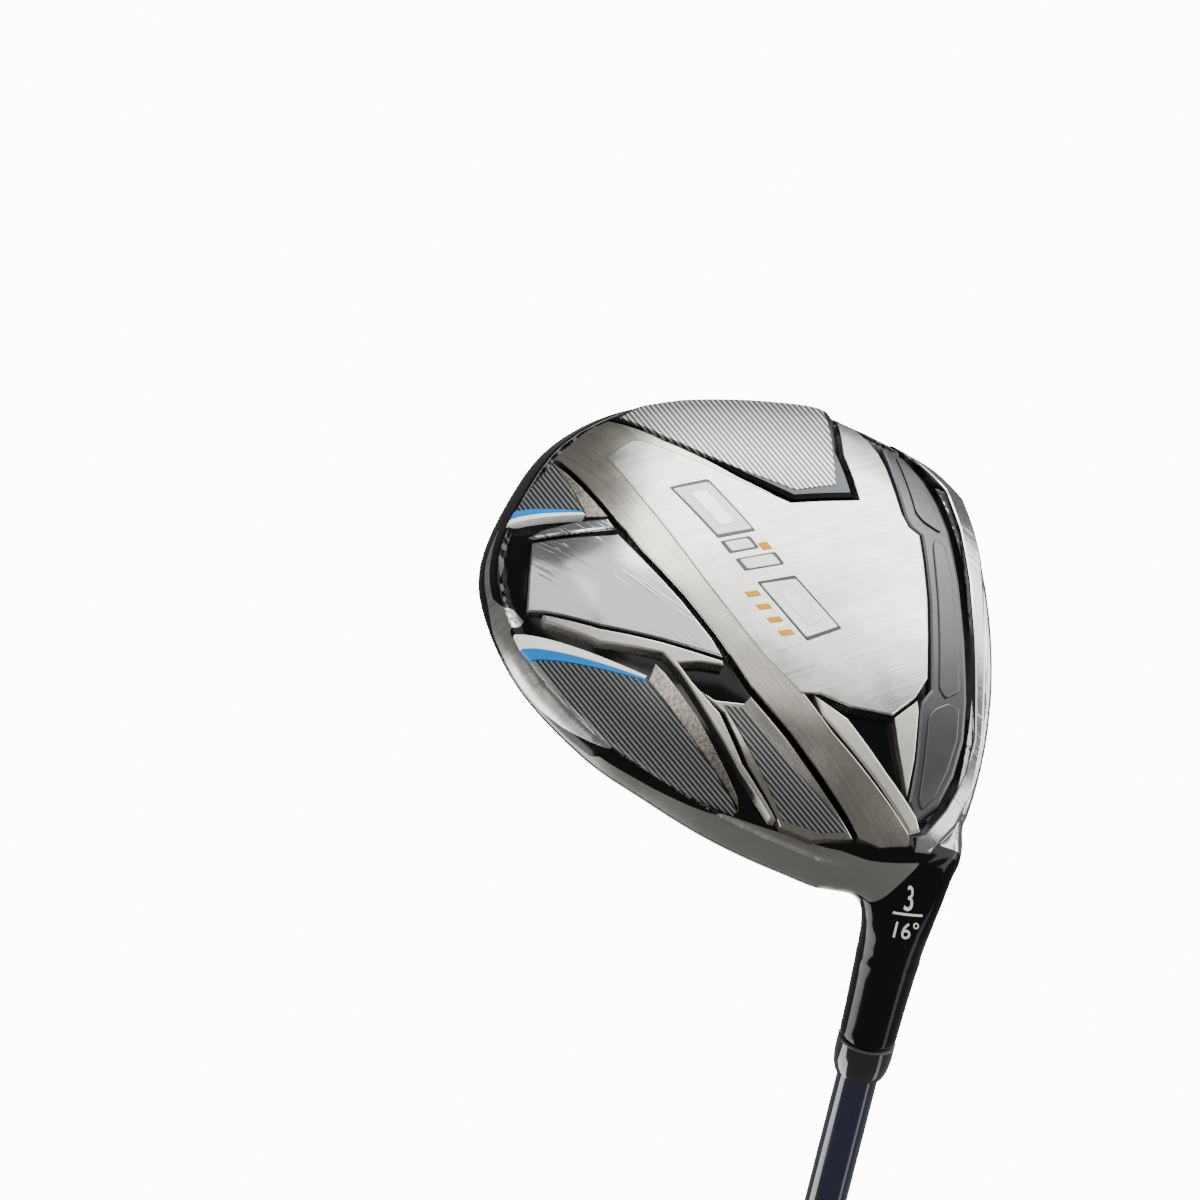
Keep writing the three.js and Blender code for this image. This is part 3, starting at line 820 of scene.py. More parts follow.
@dataclass
class HeadShell:
    """The head's shell: sole floor, skirt, crown rim, leading edge and the hosel that grows out of it.

    Attributes:
        around: Steps round the head.
        rings: Steps from the middle of the sole to the top of the crown.
        floor_depth: How far the sole's floor lies under its trim, in millimetres.
        edge_round: Softness of the edge between face and body, in millimetres.
        floor_top: Height above which the sole isn't sunk, in millimetres.
        sole_span: Share of the steps that the sole takes.
        wall_span: Share of the steps up to the crown edge.
        voxel: Cell in which shell and hosel are melted together, in millimetres.
        melt_steps: Rounds of smoothing that take out the cells' steps.
        fillet_steps: Rounds of smoothing in each ring round the hosel's root.
        blend_steps: Rounds of smoothing that take out the seam under the root.
        root_foot: Height to which the root is kept above the sole, in millimetres.
        cheek: Middle of the fill between the face's heel end and the hosel, in millimetres.
        cheek_radius: Radius of that fill, in millimetres.
        cheek_stretch: How much longer it is along X.
        heel_edge: Point under the hosel where the sole runs out into it, in millimetres.
        heel_slope: Rise of the heel there, in radians.
        hosel_profile: Radius and distance up the shaft line of the hosel, in millimetres.
    """

    around: int = 220
    rings: int = 150
    floor_depth: float = 2.4
    edge_round: float = 3.4
    floor_top: float = 14
    sole_span: float = 0.42
    wall_span: float = 0.54
    voxel: float = 0.59
    melt_steps: int = 16
    fillet_steps: int = 40
    blend_steps: int = 12
    root_foot: float = 13.0
    cheek: tuple[float, float, float] = (39.8, -33.2, 16.3)
    cheek_radius: float = 5.3
    cheek_stretch: float = 1.35
    heel_edge: tuple[float, float, float] = (46.5, 0.0, 13.9)
    heel_slope: float = math.radians(36)
    hosel_profile: Outline = field(
        default_factory=lambda: [
            (0, 12.5), (5, 13.0), (8.2, 14.8), (9.4, 17.5), (9.5, 20.5), (9.0, 23.5), (8.4, 27), (7.7, 30.5),
            (7.0, 35), (6.5, 41), (6.2, 48), (6.0, 54), (5.95, 57.9), (5.5, 58.4), (0, 58.4),
        ]
    )

    def body(self) -> bmesh.types.BMesh:
        """Shape a ball into the head.

        Returns:
            The closed body in metres.
        """
        bm = bmesh.new()
        bmesh.ops.create_uvsphere(bm, u_segments=self.around, v_segments=self.rings, radius=1.0)
        for vert in bm.verts:
            up = 0.5 + math.asin(max(-1.0, min(1.0, vert.co.z))) / math.pi
            turn = math.atan2(vert.co.y, vert.co.x)
            if up < self.sole_span:
                share = SHAPE.skirt_foot * math.sin(up / self.sole_span * math.pi / 2)
                z = SHAPE.sole_height(share)
            elif up < self.wall_span:
                climb = (up - self.sole_span) / (self.wall_span - self.sole_span)
                share = SHAPE.skirt_foot + (1 - SHAPE.skirt_foot) * math.sin(climb * math.pi / 2)
                z = SHAPE.edge_height - SHAPE.skirt_height * (1 - climb)
            else:
                share = math.sin((1 - up) / (1 - self.wall_span) * math.pi / 2)
                z = SHAPE.crown_rise(share)
            x, y = (share * SHAPE.edge(turn) * f(turn) for f in (math.cos, math.sin))
            front = SHAPE.face_front(x, z)
            # The floor isn't sunk at the skirt, behind the face or where the hosel grows out
            sunk = smoothstep(0.958, 0.94, share) * smoothstep(2.6, 3.6, (y - front) / MM)
            heel = math.hypot(x - 50 * MM, y + 24 * MM) / MM
            sunk *= smoothstep(9.0, 12.0, heel)
            if z < self.floor_top * MM and up < self.sole_span:
                z += self.floor_depth * MM * sunk
            gap = y - front
            soft = math.hypot(gap, self.edge_round * MM)
            vert.co = (x, front + (gap + soft) / 2 - 0.2 * MM, z)
        return bm

    def soften(self, bm: bmesh.types.BMesh) -> None:
        """Smooth the fillet where the hosel grows out of the head.

        Args:
            bm: The melted shell.
        """
        root = SHAFT_LINE @ Vector((0, 0, 22 * MM))
        for reach in (18.0, 14.5, 11.0):
            smooth(bm, [v for v in bm.verts if (v.co - root).length < reach * MM], self.fillet_steps)
        for vert in bm.verts:
            if (vert.co - root).length < 20 * MM:
                sole = SHAPE.sole_height(SHAPE.share(vert.co.x, vert.co.y)) + 0.2 * MM
                vert.co.z = max(vert.co.z, min(sole, self.root_foot * MM))
        smooth(bm, [v for v in bm.verts if (v.co - root).length < 17 * MM], self.blend_steps)

    def hosel(self) -> bmesh.types.BMesh:
        """Turn the hosel, cut its root to the heel and add the fill beside the face.

        Returns:
            The hosel in metres.
        """
        hosel = turned(self.hosel_profile)
        # The heel runs out of the sole on one slope, so nothing of the root hangs below it
        slope = Vector((math.sin(self.heel_slope), 0, -math.cos(self.heel_slope)))
        for vert in hosel.verts:
            below = (vert.co - Vector(self.heel_edge) * MM).dot(slope)
            vert.co -= slope * max(0.0, below)
        bmesh.ops.create_icosphere(
            hosel, subdivisions=3, radius=self.cheek_radius * MM,
            matrix=Matrix.Translation(Vector(self.cheek) * MM)
            @ Matrix.Diagonal((self.cheek_stretch, 1.0, 1.0, 1.0)),
        )
        return hosel

    def melt(self) -> bmesh.types.BMesh:
        """Melt body and hosel into one skin.

        Returns:
            The closed skin in metres.
        """
        bm, hosel = self.body(), self.hosel()
        mesh = bpy.data.meshes.new("hosel_root")
        hosel.to_mesh(mesh)
        hosel.free()
        bm.from_mesh(mesh)
        bpy.data.meshes.remove(mesh)
        mesh = bpy.data.meshes.new("melt")
        bm.to_mesh(mesh)
        bm.free()
        raw = placed("melt", mesh)
        remesh = raw.modifiers.new("melt", "REMESH")
        remesh.mode, remesh.voxel_size, remesh.adaptivity = "VOXEL", self.voxel * MM, 0.0
        soft = raw.modifiers.new("smooth", "SMOOTH")
        soft.factor, soft.iterations = 0.5, self.melt_steps
        graph = bpy.context.evaluated_depsgraph_get()
        melted = bmesh.new()
        melted.from_object(raw, graph)
        bpy.data.objects.remove(raw)
        bpy.data.meshes.remove(mesh)
        return melted

    def build(self) -> bpy.types.Object:
        """Make the shell, mark where each finish goes, and dress it.

        Returns:
            The object.
        """
        melted = self.melt()
        self.soften(melted)
        for zone, measure in (("skirt", skirt_zone), ("front", front_zone), ("rim", RIM_BAND.inside)):
            layer = melted.verts.layers.float.new(zone)
            for vert in melted.verts:
                vert[layer] = measure(vert.co)
        return finished("head_shell", melted, SHELL_FINISH, ("head_body",), crease=180.0)


def turned(profile: Outline, steps: int = 64) -> bmesh.types.BMesh:
    """Turn a profile round the shaft line.

    Args:
        profile: Radius and distance up the shaft line, in millimetres.
        steps: Steps round the axis.

    Returns:
        The turned shape in the row's frame, in metres.
    """
    bm = bmesh.new()
    verts = [bm.verts.new((r * MM, 0, t * MM)) for r, t in profile]
    for a, b in zip(verts, verts[1:]):
        bm.edges.new((a, b))
    geom = bm.verts[:] + bm.edges[:]
    bmesh.ops.spin(
        bm, geom=geom, cent=(0, 0, 0), axis=(0, 0, 1), angle=math.tau, steps=steps, use_merge=True
    )
    bmesh.ops.remove_doubles(bm, verts=bm.verts[:], dist=1e-7)
    bmesh.ops.recalc_face_normals(bm, faces=bm.faces[:])
    bmesh.ops.transform(bm, matrix=SHAFT_LINE, verts=bm.verts[:])
    return bm


@dataclass(frozen=True)
class Band:
    """A painted or polished band that runs round the head.

    Attributes:
        stations: Turn in degrees from +X with the band's lowest and highest millimetre there.
    """

    stations: tuple[tuple[float, float, float], ...]

    def inside(self, co: Vector) -> float:
        """Measure how far inside the band a point is.

        Args:
            co: Point in the row's frame, in metres.

        Returns:
            Millimetres inside the band; negative outside it.
        """
        turn, z = math.degrees(math.atan2(co.y, co.x)), co.z / MM
        first, last = self.stations[0], self.stations[-1]
        if not first[0] <= turn <= last[0]:
            return -1.0
        (t0, low0, high0), (t1, low1, high1) = next(
            pair for pair in zip(self.stations, self.stations[1:]) if turn <= pair[1][0]
        )
        t = (turn - t0) / (t1 - t0)
        return min(z - low0 - (low1 - low0) * t, high0 + (high1 - high0) * t - z)


SKIRT_BAND = Band(
    (
        (-34, 12.9, 19.8), (-18, 12.0, 19.8), (-4, 12.4, 19.8), (18, 13.6, 19.8), (28, 15.0, 19.8),
        (38, 16.1, 19.8), (48, 16.6, 19.8), (53.6, 16.9, 19.8), (55, 18.3, 19.8), (61, 18.9, 19.8),
        (72, 19.1, 19.8), (84, 19.4, 19.8), (87, 20.2, 19.8),
    )
)
RIM_BAND = Band(
    (
        (52, 13.8, 13.8), (58.4, 13.3, 15.9), (64.5, 13.2, 17.7), (69.5, 13.1, 18.7), (72, 13.3, 19.1),
        (82, 13.8, 19.1), (87, 14.6, 19.0), (89, 12.8, 18.9), (92, 13.6, 18.0), (95, 15.8, 17.4),
        (104, 15.7, 17.0), (112, 16.2, 16.2),
    )
)


# Slanted heel end of the skirt: where it crosses its foot's height, that height, its fall towards the
# face, and the share that turns a distance along Y into one across the slant
SLANT_START, SLANT_FOOT, SLANT_FALL, SLANT_SHARE = 27.3, 13.4, 1.25, 0.62


def skirt_zone(co: Vector) -> float:
    """Measure how far inside the grey skirt a point is.

    Args:
        co: Point in the row's frame, in metres.

    Returns:
        Millimetres inside the skirt, which ends on a slant before the hosel; negative outside it.
    """
    slant = (co.y / MM + SLANT_START - SLANT_FALL * (co.z / MM - SLANT_FOOT)) * SLANT_SHARE
    return min(SKIRT_BAND.inside(co), slant)


# The bare steel of the face side: how far it reaches behind the face, its top, and its heel and toe ends
FRONT_DEPTH, FRONT_TOP, FRONT_HEEL, FRONT_TOE = 4.6, 20.0, 41.5, 44.0


def front_zone(co: Vector) -> float:
    """Measure how far inside the bare steel of the face side a point is.

    Args:
        co: Point in the row's frame, in metres.

    Returns:
        Millimetres inside it; negative outside it.
    """
    x, z = co.x / MM, co.z / MM
    gap = (SHAPE.face_front(co.x, co.z) - co.y) / MM + FRONT_DEPTH
    return min(gap, FRONT_TOP - z, FRONT_HEEL - x, x + FRONT_TOE)


@dataclass(frozen=True)
class ShellFinish:
    """Black gloss enamel with grey skirt, bare steel front and bright rim, masked by vertex attributes.

    Attributes:
        name: The real materials.
        slot: Slot of the record; not used.
    """

    name: str = "enamelled cast shell"
    slot: str = "cast_head"

    def material(self) -> bpy.types.Material:
        """Make the material.

        Returns:
            The material.
        """
        made = bpy.data.materials.new(self.name)
        made.use_nodes = True
        tree = made.node_tree
        tree.nodes.clear()
        shader = BLACK_ENAMEL.shade(tree)
        for zone, finish in (("front", MIRROR_STEEL), ("skirt", SKIRT_ENAMEL), ("rim", SATIN_STEEL)):
            measure = add_node(tree, "ShaderNodeAttribute", {"attribute_name": zone}).outputs["Fac"]
            # A masked edge of paint is crisp, so the blend takes a tenth of a millimetre
            share = add_node(
                tree, "ShaderNodeMapRange", {"From Min": -0.05, "From Max": 0.05}, {"Value": measure}
            ).outputs["Result"]
            shader = add_node(
                tree,
                "ShaderNodeMixShader",
                links={0: share, 1: shader.outputs[0], 2: finish.shade(tree).outputs[0]},
            )
        add_node(tree, "ShaderNodeOutputMaterial", links={"Surface": shader.outputs[0]})
        return made


SHELL_FINISH = ShellFinish()


@dataclass
class SoleTrim:
    """Everything that lies on the sole. Outlines are in millimetres in plan.

    Attributes:
        strip: Smoked strip that crosses the sole from the back of the toe to the heel.
        panel: Bright panel in front of it.
        pad: Polished pad behind it.
    """

    strip: Outline = field(
        default_factory=lambda: [
            (-38.0, 48.6), (-20.6, 37.9), (-12.5, 32.4), (-2.6, 23.9), (5.9, 17.3), (16.4, 10.1),
            (25.8, 1.2), (36.4, -7.8), (43.8, -14.4), (44.6, -19), (43.4, -25.0), (41.6, -24.6),
            (34.2, -16.9), (24.5, -7.0), (17.0, -1.0), (8.0, 6.5), (-8, 18), (-24, 29), (-28.3, 2.4),
            (-33.2, 12.4), (-48.3, 37.6), (-45.5, 42),
        ]
    )
    panel: Outline = field(
        default_factory=lambda: [
            (-36.4, 39.2), (-41.4, 34), (-41.5, 31.8), (-32.2, 12.4), (-28.0, 1.7), (-31.4, -12.9),
            (-37.0, -11.9), (-43.5, -10.4), (-54.6, -10.6), (-53.2, -14.5), (-50.0, -16.9),
            (-46.5, -18.6), (-41.9, -19.9), (-29.9, -22.2), (-26.6, -23.6),
            (-25.0, -25.8), (-19.2, -26.3), (-9.4, -26.9), (0.1, -26.9), (9.5, -26.7), (14.2, -24.2),
            (19.0, -19.3), (18.6, -10.5), (16.6, -4.2), (17.0, -0.3), (8.9, 7.9), (3.9, 12.0),
            (-6.3, 19.8), (-24.9, 32.3),
        ]
    )
    pad: Outline = field(
        default_factory=lambda: [
            (-15.2, 53.6), (-16.4, 37.2), (-11.6, 33.2), (-1.6, 24.7), (6.7, 18.2), (10.5, 15.8),
            (7.4, 28.5), (4.7, 40.2), (0.9, 51.0), (0.2, 54.2), (-7.7, 54.2),
        ]
    )

    def plates(self) -> list[Plate]:
        """List the plates of the sole.

        Returns:
            The plates, from the front of the head to the back.
        """
        return [
            Plate("diagonal_strip", self.strip, SMOKED_STEEL, rise=0.3),
            Plate("centre_panel", self.panel, SATIN_STEEL, rise=0.5, bevel=0.3),
            Plate("mirror_pad", self.pad, MIRROR_STEEL, rise=0.1, bevel=0.3),
            Plate(
                "toe_ridge",
                [(-18.0, 51.6), (-19.4, 45.5), (-20.2, 39.2), (-17.6, 37.7), (-16.6, 45), (-15.9, 53.3),
                 (-16.6, 54.4)],
                MIRROR_STEEL, rise=0.6, bevel=0.6,
            ),
            Plate(
                "rear_toe_facet", [(-37.0, 49.2), (-20.9, 39.0), (-20.9, 43.2)], BLASTED_STEEL, rise=-0.1,
            ),
            Plate(
                "rear_toe_badge", [(-36.5, 48.9), (-22.3, 44.0), (-24.7, 56.4), (-30.2, 53.6)], DARK_FILM,
                rise=0.35, nodes=("rear_toe_badge",),
            ),
            Plate(
                "rear_toe_blue", [(-24.7, 56.6), (-22.9, 57.4), (-21.9, 44.2), (-22.2, 44.0)], BLUE_PAINT,
                rise=0.4, bevel=0.05,
            ),
            Plate(
                "rear_toe_white", [(-22.8, 57.4), (-21.4, 58.0), (-21.2, 43.6), (-21.8, 44.0)],
                WHITE_PAINT, rise=0.4, bevel=0.05,
            ),
            Plate(
                "toe_badge_border",
                [(-28.9, 1.1), (-33.6, 12.0), (-49.0, 37.6), (-53.8, 31.0), (-57.2, 22), (-59.4, 8),
                 (-60.0, -3), (-59.3, -9.6), (-55.8, -9.6), (-43.5, -9.2), (-37.2, -10.8), (-32.0, -11.9)],
                DARK_CHROME, rise=1.0, bevel=0.8, segments=1,
            ),
            Plate(
                "toe_badge",
                [(-30.9, 0.6), (-34.6, 12.0), (-38.2, 19.9), (-42.4, 27.5), (-48.5, 35.6), (-52.9, 30.4),
                 (-56.5, 21.4), (-58.6, 8), (-59.1, -3), (-58.8, -7.6), (-51.1, -8), (-33.9, -8)],
                BRIGHT_FILM, rise=1.15, bevel=0.15, nodes=("toe_badge",),
            ),
            Plate(
                "heel_ridge",
                [(1.6, 51.2), (5.6, 40.4), (8.3, 28.6), (11.6, 15.9), (12.5, 15.7), (12.1, 20.4),
                 (12.6, 24.8), (16.4, 21.9), (22.5, 15.9), (32.0, 10.6), (41.3, 2.6), (41.0, 3.8),
                 (33.3, 10.9), (14.4, 24.4), (10.6, 27.8), (9.7, 32.4), (8.3, 40.2), (3.1, 50.8)],
                RIDGE_STEEL, rise=0.4, bevel=0.3,
            ),
            Plate(
                "heel_badge_seat",
                [(17.5, 20.4), (19.7, 16.9), (20.0, 11.2), (18.3, 9.9), (26.8, 2.0), (37.3, -7.0),
                 (43.9, -13.2), (44.3, -5), (42.2, 1.4), (32.0, 9.4), (22.3, 14.9)],
                SMOKED_STEEL, rise=-0.2,
            ),
            Plate(
                "heel_badge",
                [(20.7, 15.2), (21.2, 11.2), (31.9, 0.8), (43.0, -11.8), (43.4, -6.5), (41.3, 1.3)],
                DARK_FILM, rise=0.3, bevel=0.1, nodes=("heel_badge",),
            ),
            Plate(
                "rear_heel_facet",
                [(12.6, 29.2), (14.8, 27.0), (23.6, 19.8), (37.4, 10.6), (39.4, 10.0), (29.3, 19.0),
                 (16.3, 30.4)],
                BLASTED_STEEL, rise=-0.1,
            ),
            Plate(
                "rear_heel_badge",
                [(9.9, 52.4), (16.7, 30.2), (29.4, 19.2), (39.6, 10.4), (36.6, 18.6), (33, 25.6),
                 (25.8, 37.4), (17.9, 46.0)],
                DARK_FILM, rise=0.4, bevel=0.15, nodes=("rear_heel_badge",),
            ),
            Plate(
                "rear_heel_blue", [(7.1, 54.6), (16.0, 31.2), (16.6, 30.3), (9.7, 52.6)], BLUE_PAINT,
                rise=0.45, bevel=0.05,
            ),
            Plate(
                "rear_heel_white", [(4.0, 56.0), (15.5, 30.8), (15.9, 31.1), (7.0, 54.6)], WHITE_PAINT,
                rise=0.45, bevel=0.05,
            ),
            Plate(
                "front_ridge",
                [(16.9, -3.0), (21.4, -4.9), (32.4, -15.9), (41.6, -24.7), (40.6, -26.9), (38.4, -25.8),
                 (31.2, -18.7), (21.2, -10.0)],
                RIDGE_STEEL, rise=0.45, bevel=0.45,
            ),
            Plate(
                "step_facet",
                [(19.4, -19.8), (14.6, -24.7), (16.8, -25.0), (27.3, -24.4), (34.8, -23.4), (33.0, -22.8),
                 (24.9, -20.8)],
                RIDGE_STEEL, rise=0.2, bevel=0.3,
            ),
            Plate(
                "leading_band",
                [(-54, -23.2), (-47.5, -28.4), (-40.8, -33.1), (-29.6, -35.3), (-16.6, -36.5),
                 (-2.1, -37.1), (9.5, -37.2), (20.4, -37.2), (28, -35.6), (35.6, -31.8), (40.6, -28),
                 (41.4, -26.3), (43.9, -26.5), (43.4, -30), (38, -34.6), (30, -37.8), (20, -39.2),
                 (6.5, -39.6), (-2.9, -39.7), (-12.7, -39.8), (-23, -39.7), (-31, -38.8), (-40, -37.3),
                 (-47, -32.4), (-53.5, -26.2), (-55, -24.3)],
                MIRROR_STEEL, rise=0.2, bevel=0.5,
            ),
            Plate(
                "slot_insert",
                [(-49.6, -20), (-40.9, -21.3), (-29.9, -23), (-27.1, -24.3), (-25.5, -26.4),
                 (-19.2, -27), (-9.4, -27.6), (0.1, -27.6), (11.2, -27.6), (14.3, -25.6), (16.6, -25.3),
                 (27.3, -24.8), (35.5, -23.8), (39.2, -25.6), (38.9, -26.4), (35, -30.6), (28.5, -33.4),
                 (20.8, -35.2), (12.1, -35.7), (-1.6, -35.3), (-16, -34.4), (-28.8, -32.9),
                 (-35.3, -31.2), (-42.1, -28.6), (-48.3, -25.1), (-50.3, -22.7)],
                INSERT_RUBBER, rise=-0.5, bevel=0.7, nodes=("speed_pocket_insert",),
            ),
            Plate(
                "insert_toe_pad",
                [(-47.9, -22.9), (-40.5, -24.2), (-31.5, -25.6), (-29.4, -27.2), (-27.4, -31.0),
                 (-35, -29.4), (-42, -26.9)],
                INSERT_RUBBER, rise=-0.1, bevel=0.3, corner=0.8,
            ),
            Plate(
                "insert_middle_pad",
                [(-25.6, -29.3), (-23.4, -28.8), (-9.4, -29.4), (0.1, -29.5), (10.7, -29.4),
                 (12.8, -30.8), (10.6, -33.9), (-1.6, -33.6), (-16, -32.8), (-24.2, -31.6)],
                INSERT_RUBBER, rise=-0.1, bevel=0.3, corner=0.6,
            ),
            Plate(
                "insert_heel_pad",
                [(15.4, -28.6), (17.4, -27.2), (27.3, -26.6), (35.3, -25.9), (36.8, -26.8),
                 (33.9, -29.4), (28, -31.9), (20.9, -33.7), (14.4, -33.9), (13.6, -31.5)],
                INSERT_RUBBER, rise=-0.1, bevel=0.3, corner=0.6,
            ),
            *self.marks(),
        ]

    def marks(self) -> list[Plate]:
        """List the plain bars that stand on the centre panel, with the dark plates of painted shadow under
        them.

        Returns:
            The bars.
        """
        bars = [
            [(-28.2, 26.2), (-30.8, 18.8), (-20, 9.9), (-17.5, 17.2)],
            [(-16.0, 15.9), (-17.6, 11.0), (-15.6, 9.3), (-13.9, 14.2)],
            [(-12.2, 12.8), (-14.6, 5.8), (-12.4, 4.0), (-10.1, 11.0)],
            [(-7, 8.4), (-9.3, 1), (0.7, -7.9), (4.2, -1.2)],
        ]
        fills = [
            [(-27.4, 22.8), (-28.6, 19.4), (-21.0, 13.2), (-19.8, 16.6)],
            [(-6.1, 5.0), (-7.1, 1.6), (-0.2, -4.6), (1.7, -1.6)],
        ]
        dots = [
            [(-16.6, 8.9), (-17.3, 7.0), (-15.8, 5.8), (-15.1, 7.7)],
            [(-4.6, 11.7), (-5.4, 9.0), (-4.3, 8.1), (-3.5, 10.8)],
            [(-1.9, 9.4), (-2.7, 6.7), (-1.6, 5.8), (-0.8, 8.5)],
            [(0.8, 7.1), (0.0, 4.4), (1.1, 3.5), (1.9, 6.2)],
            [(3.5, 4.8), (2.7, 2.1), (3.8, 1.2), (4.6, 3.9)],
        ]
        kinds = (
            # Dark chrome plates a little larger than the bars sit under them as painted shadow round each
            # bar
            ("bar_painted_shadow", [spread(bar, 0.8) for bar in bars], DARK_CHROME, 0.58, 0.05, 0.4),
            ("bar", bars, WHITE_PAINT, 0.66, 0.25, 0.5),
            ("bar_fill", fills, SATIN_STEEL, 0.72, 0.1, 0.3),
            ("dot", dots, YELLOW_PAINT, 0.66, 0.15, 0.2),
        )
        return [
            Plate(f"{kind}_{i}", outline, finish, rise=rise, bevel=bevel, corner=corner)
            for kind, outlines, finish, rise, bevel, corner in kinds
            for i, outline in enumerate(outlines)
        ]

    def build(self) -> None:
        """Build every plate of the sole."""
        for plate in self.plates():
            plate.build()


@dataclass
class Crown:
    """The carbon panel let into the top of the head.

    Attributes:
        margin: Painted rim round the panel, in millimetres.
        behind_face: Painted strip behind the face, in millimetres.
        hosel_room: Clear radius round the hosel, in millimetres.
        steps: Corners of its outline.
    """

    margin: float = 3.4
    behind_face: float = 9.5
    hosel_room: float = 12.5
    steps: int = 120

    def build(self) -> None:
        """Build the panel."""
        outline = []
        hosel = SHAFT_FOOT + Vector((26 * MM / math.tan(LIE), 0, 0))
        for k in range(self.steps):
            turn = k / self.steps * math.tau
            radius = SHAPE.edge(turn) - self.margin * MM
            x, y = radius * math.cos(turn), radius * math.sin(turn)
            y = max(y, SHAPE.face_front(x, 27 * MM) + self.behind_face * MM)
            away = Vector((x - hosel.x, y - hosel.y))
            if away.length < self.hosel_room * MM:
                away = away.normalized() * self.hosel_room * MM
                x, y = hosel.x + away.x, hosel.y + away.y
            outline.append((x / MM, y / MM))
        Plate(
            "crown_panel", outline, CARBON_CROWN, rise=0.25, depth=1.0, bevel=0.3, surface=on_crown,
            nodes=("crown_panel",), step=2.0,
        ).build()


@dataclass
class Face:
    """The face plate and its score lines.

    Attributes:
        half_length: Half its length, in millimetres.
        half_height: Half its height, in millimetres.
        centre: Where its middle is along X, in millimetres.
        pitch: Spacing of the score lines, in millimetres.
        line_reach: Their outer ends from the middle, in millimetres.
        line_half_width: Half their width, in millimetres.
        squareness: Exponent of the plate's rounded outline.
        steps: Corners of that outline.
    """

    half_length: float = 33.0
    half_height: float = 11.0
    centre: float = -5.0
    pitch: float = 4.0
    line_reach: float = 20.0
    line_half_width: float = 0.3
    squareness: float = 2.6
    steps: int = 60

    def build(self) -> None:
        """Build the plate and lines."""
        outline = []
        for k in range(self.steps):
            turn = k / self.steps * math.tau
            c, s = math.cos(turn), math.sin(turn)
            outline.append((
                self.centre + self.half_length * math.copysign(abs(c) ** (2 / self.squareness), c),
                self.half_height * math.copysign(abs(s) ** (2 / self.squareness), s),
            ))
        Plate(
            "face_plate", outline, FACE_STEEL, rise=0.3, depth=1.2, bevel=0.2, surface=on_face,
            nodes=("face_plate",),
        ).build()
        for k in (-2, -1, 0, 1, 2):
            low, high = k * self.pitch - self.line_half_width, k * self.pitch + self.line_half_width
            # The middle lines stop short, which leaves the striking area clear
            inner = 9.0 if abs(k) < 2 else 4.0
            for side in (-1, 1):
                u0, u1 = sorted((self.centre + side * inner, self.centre + side * self.line_reach))
                Plate(
                    f"score_{k + 3}_{side + 2}",
                    [(u0, low), (u1, low), (u1, high), (u0, high)],
                    SCORE_PAINT, rise=0.33, depth=0.6, bevel=0.05, surface=on_face,
                ).build()


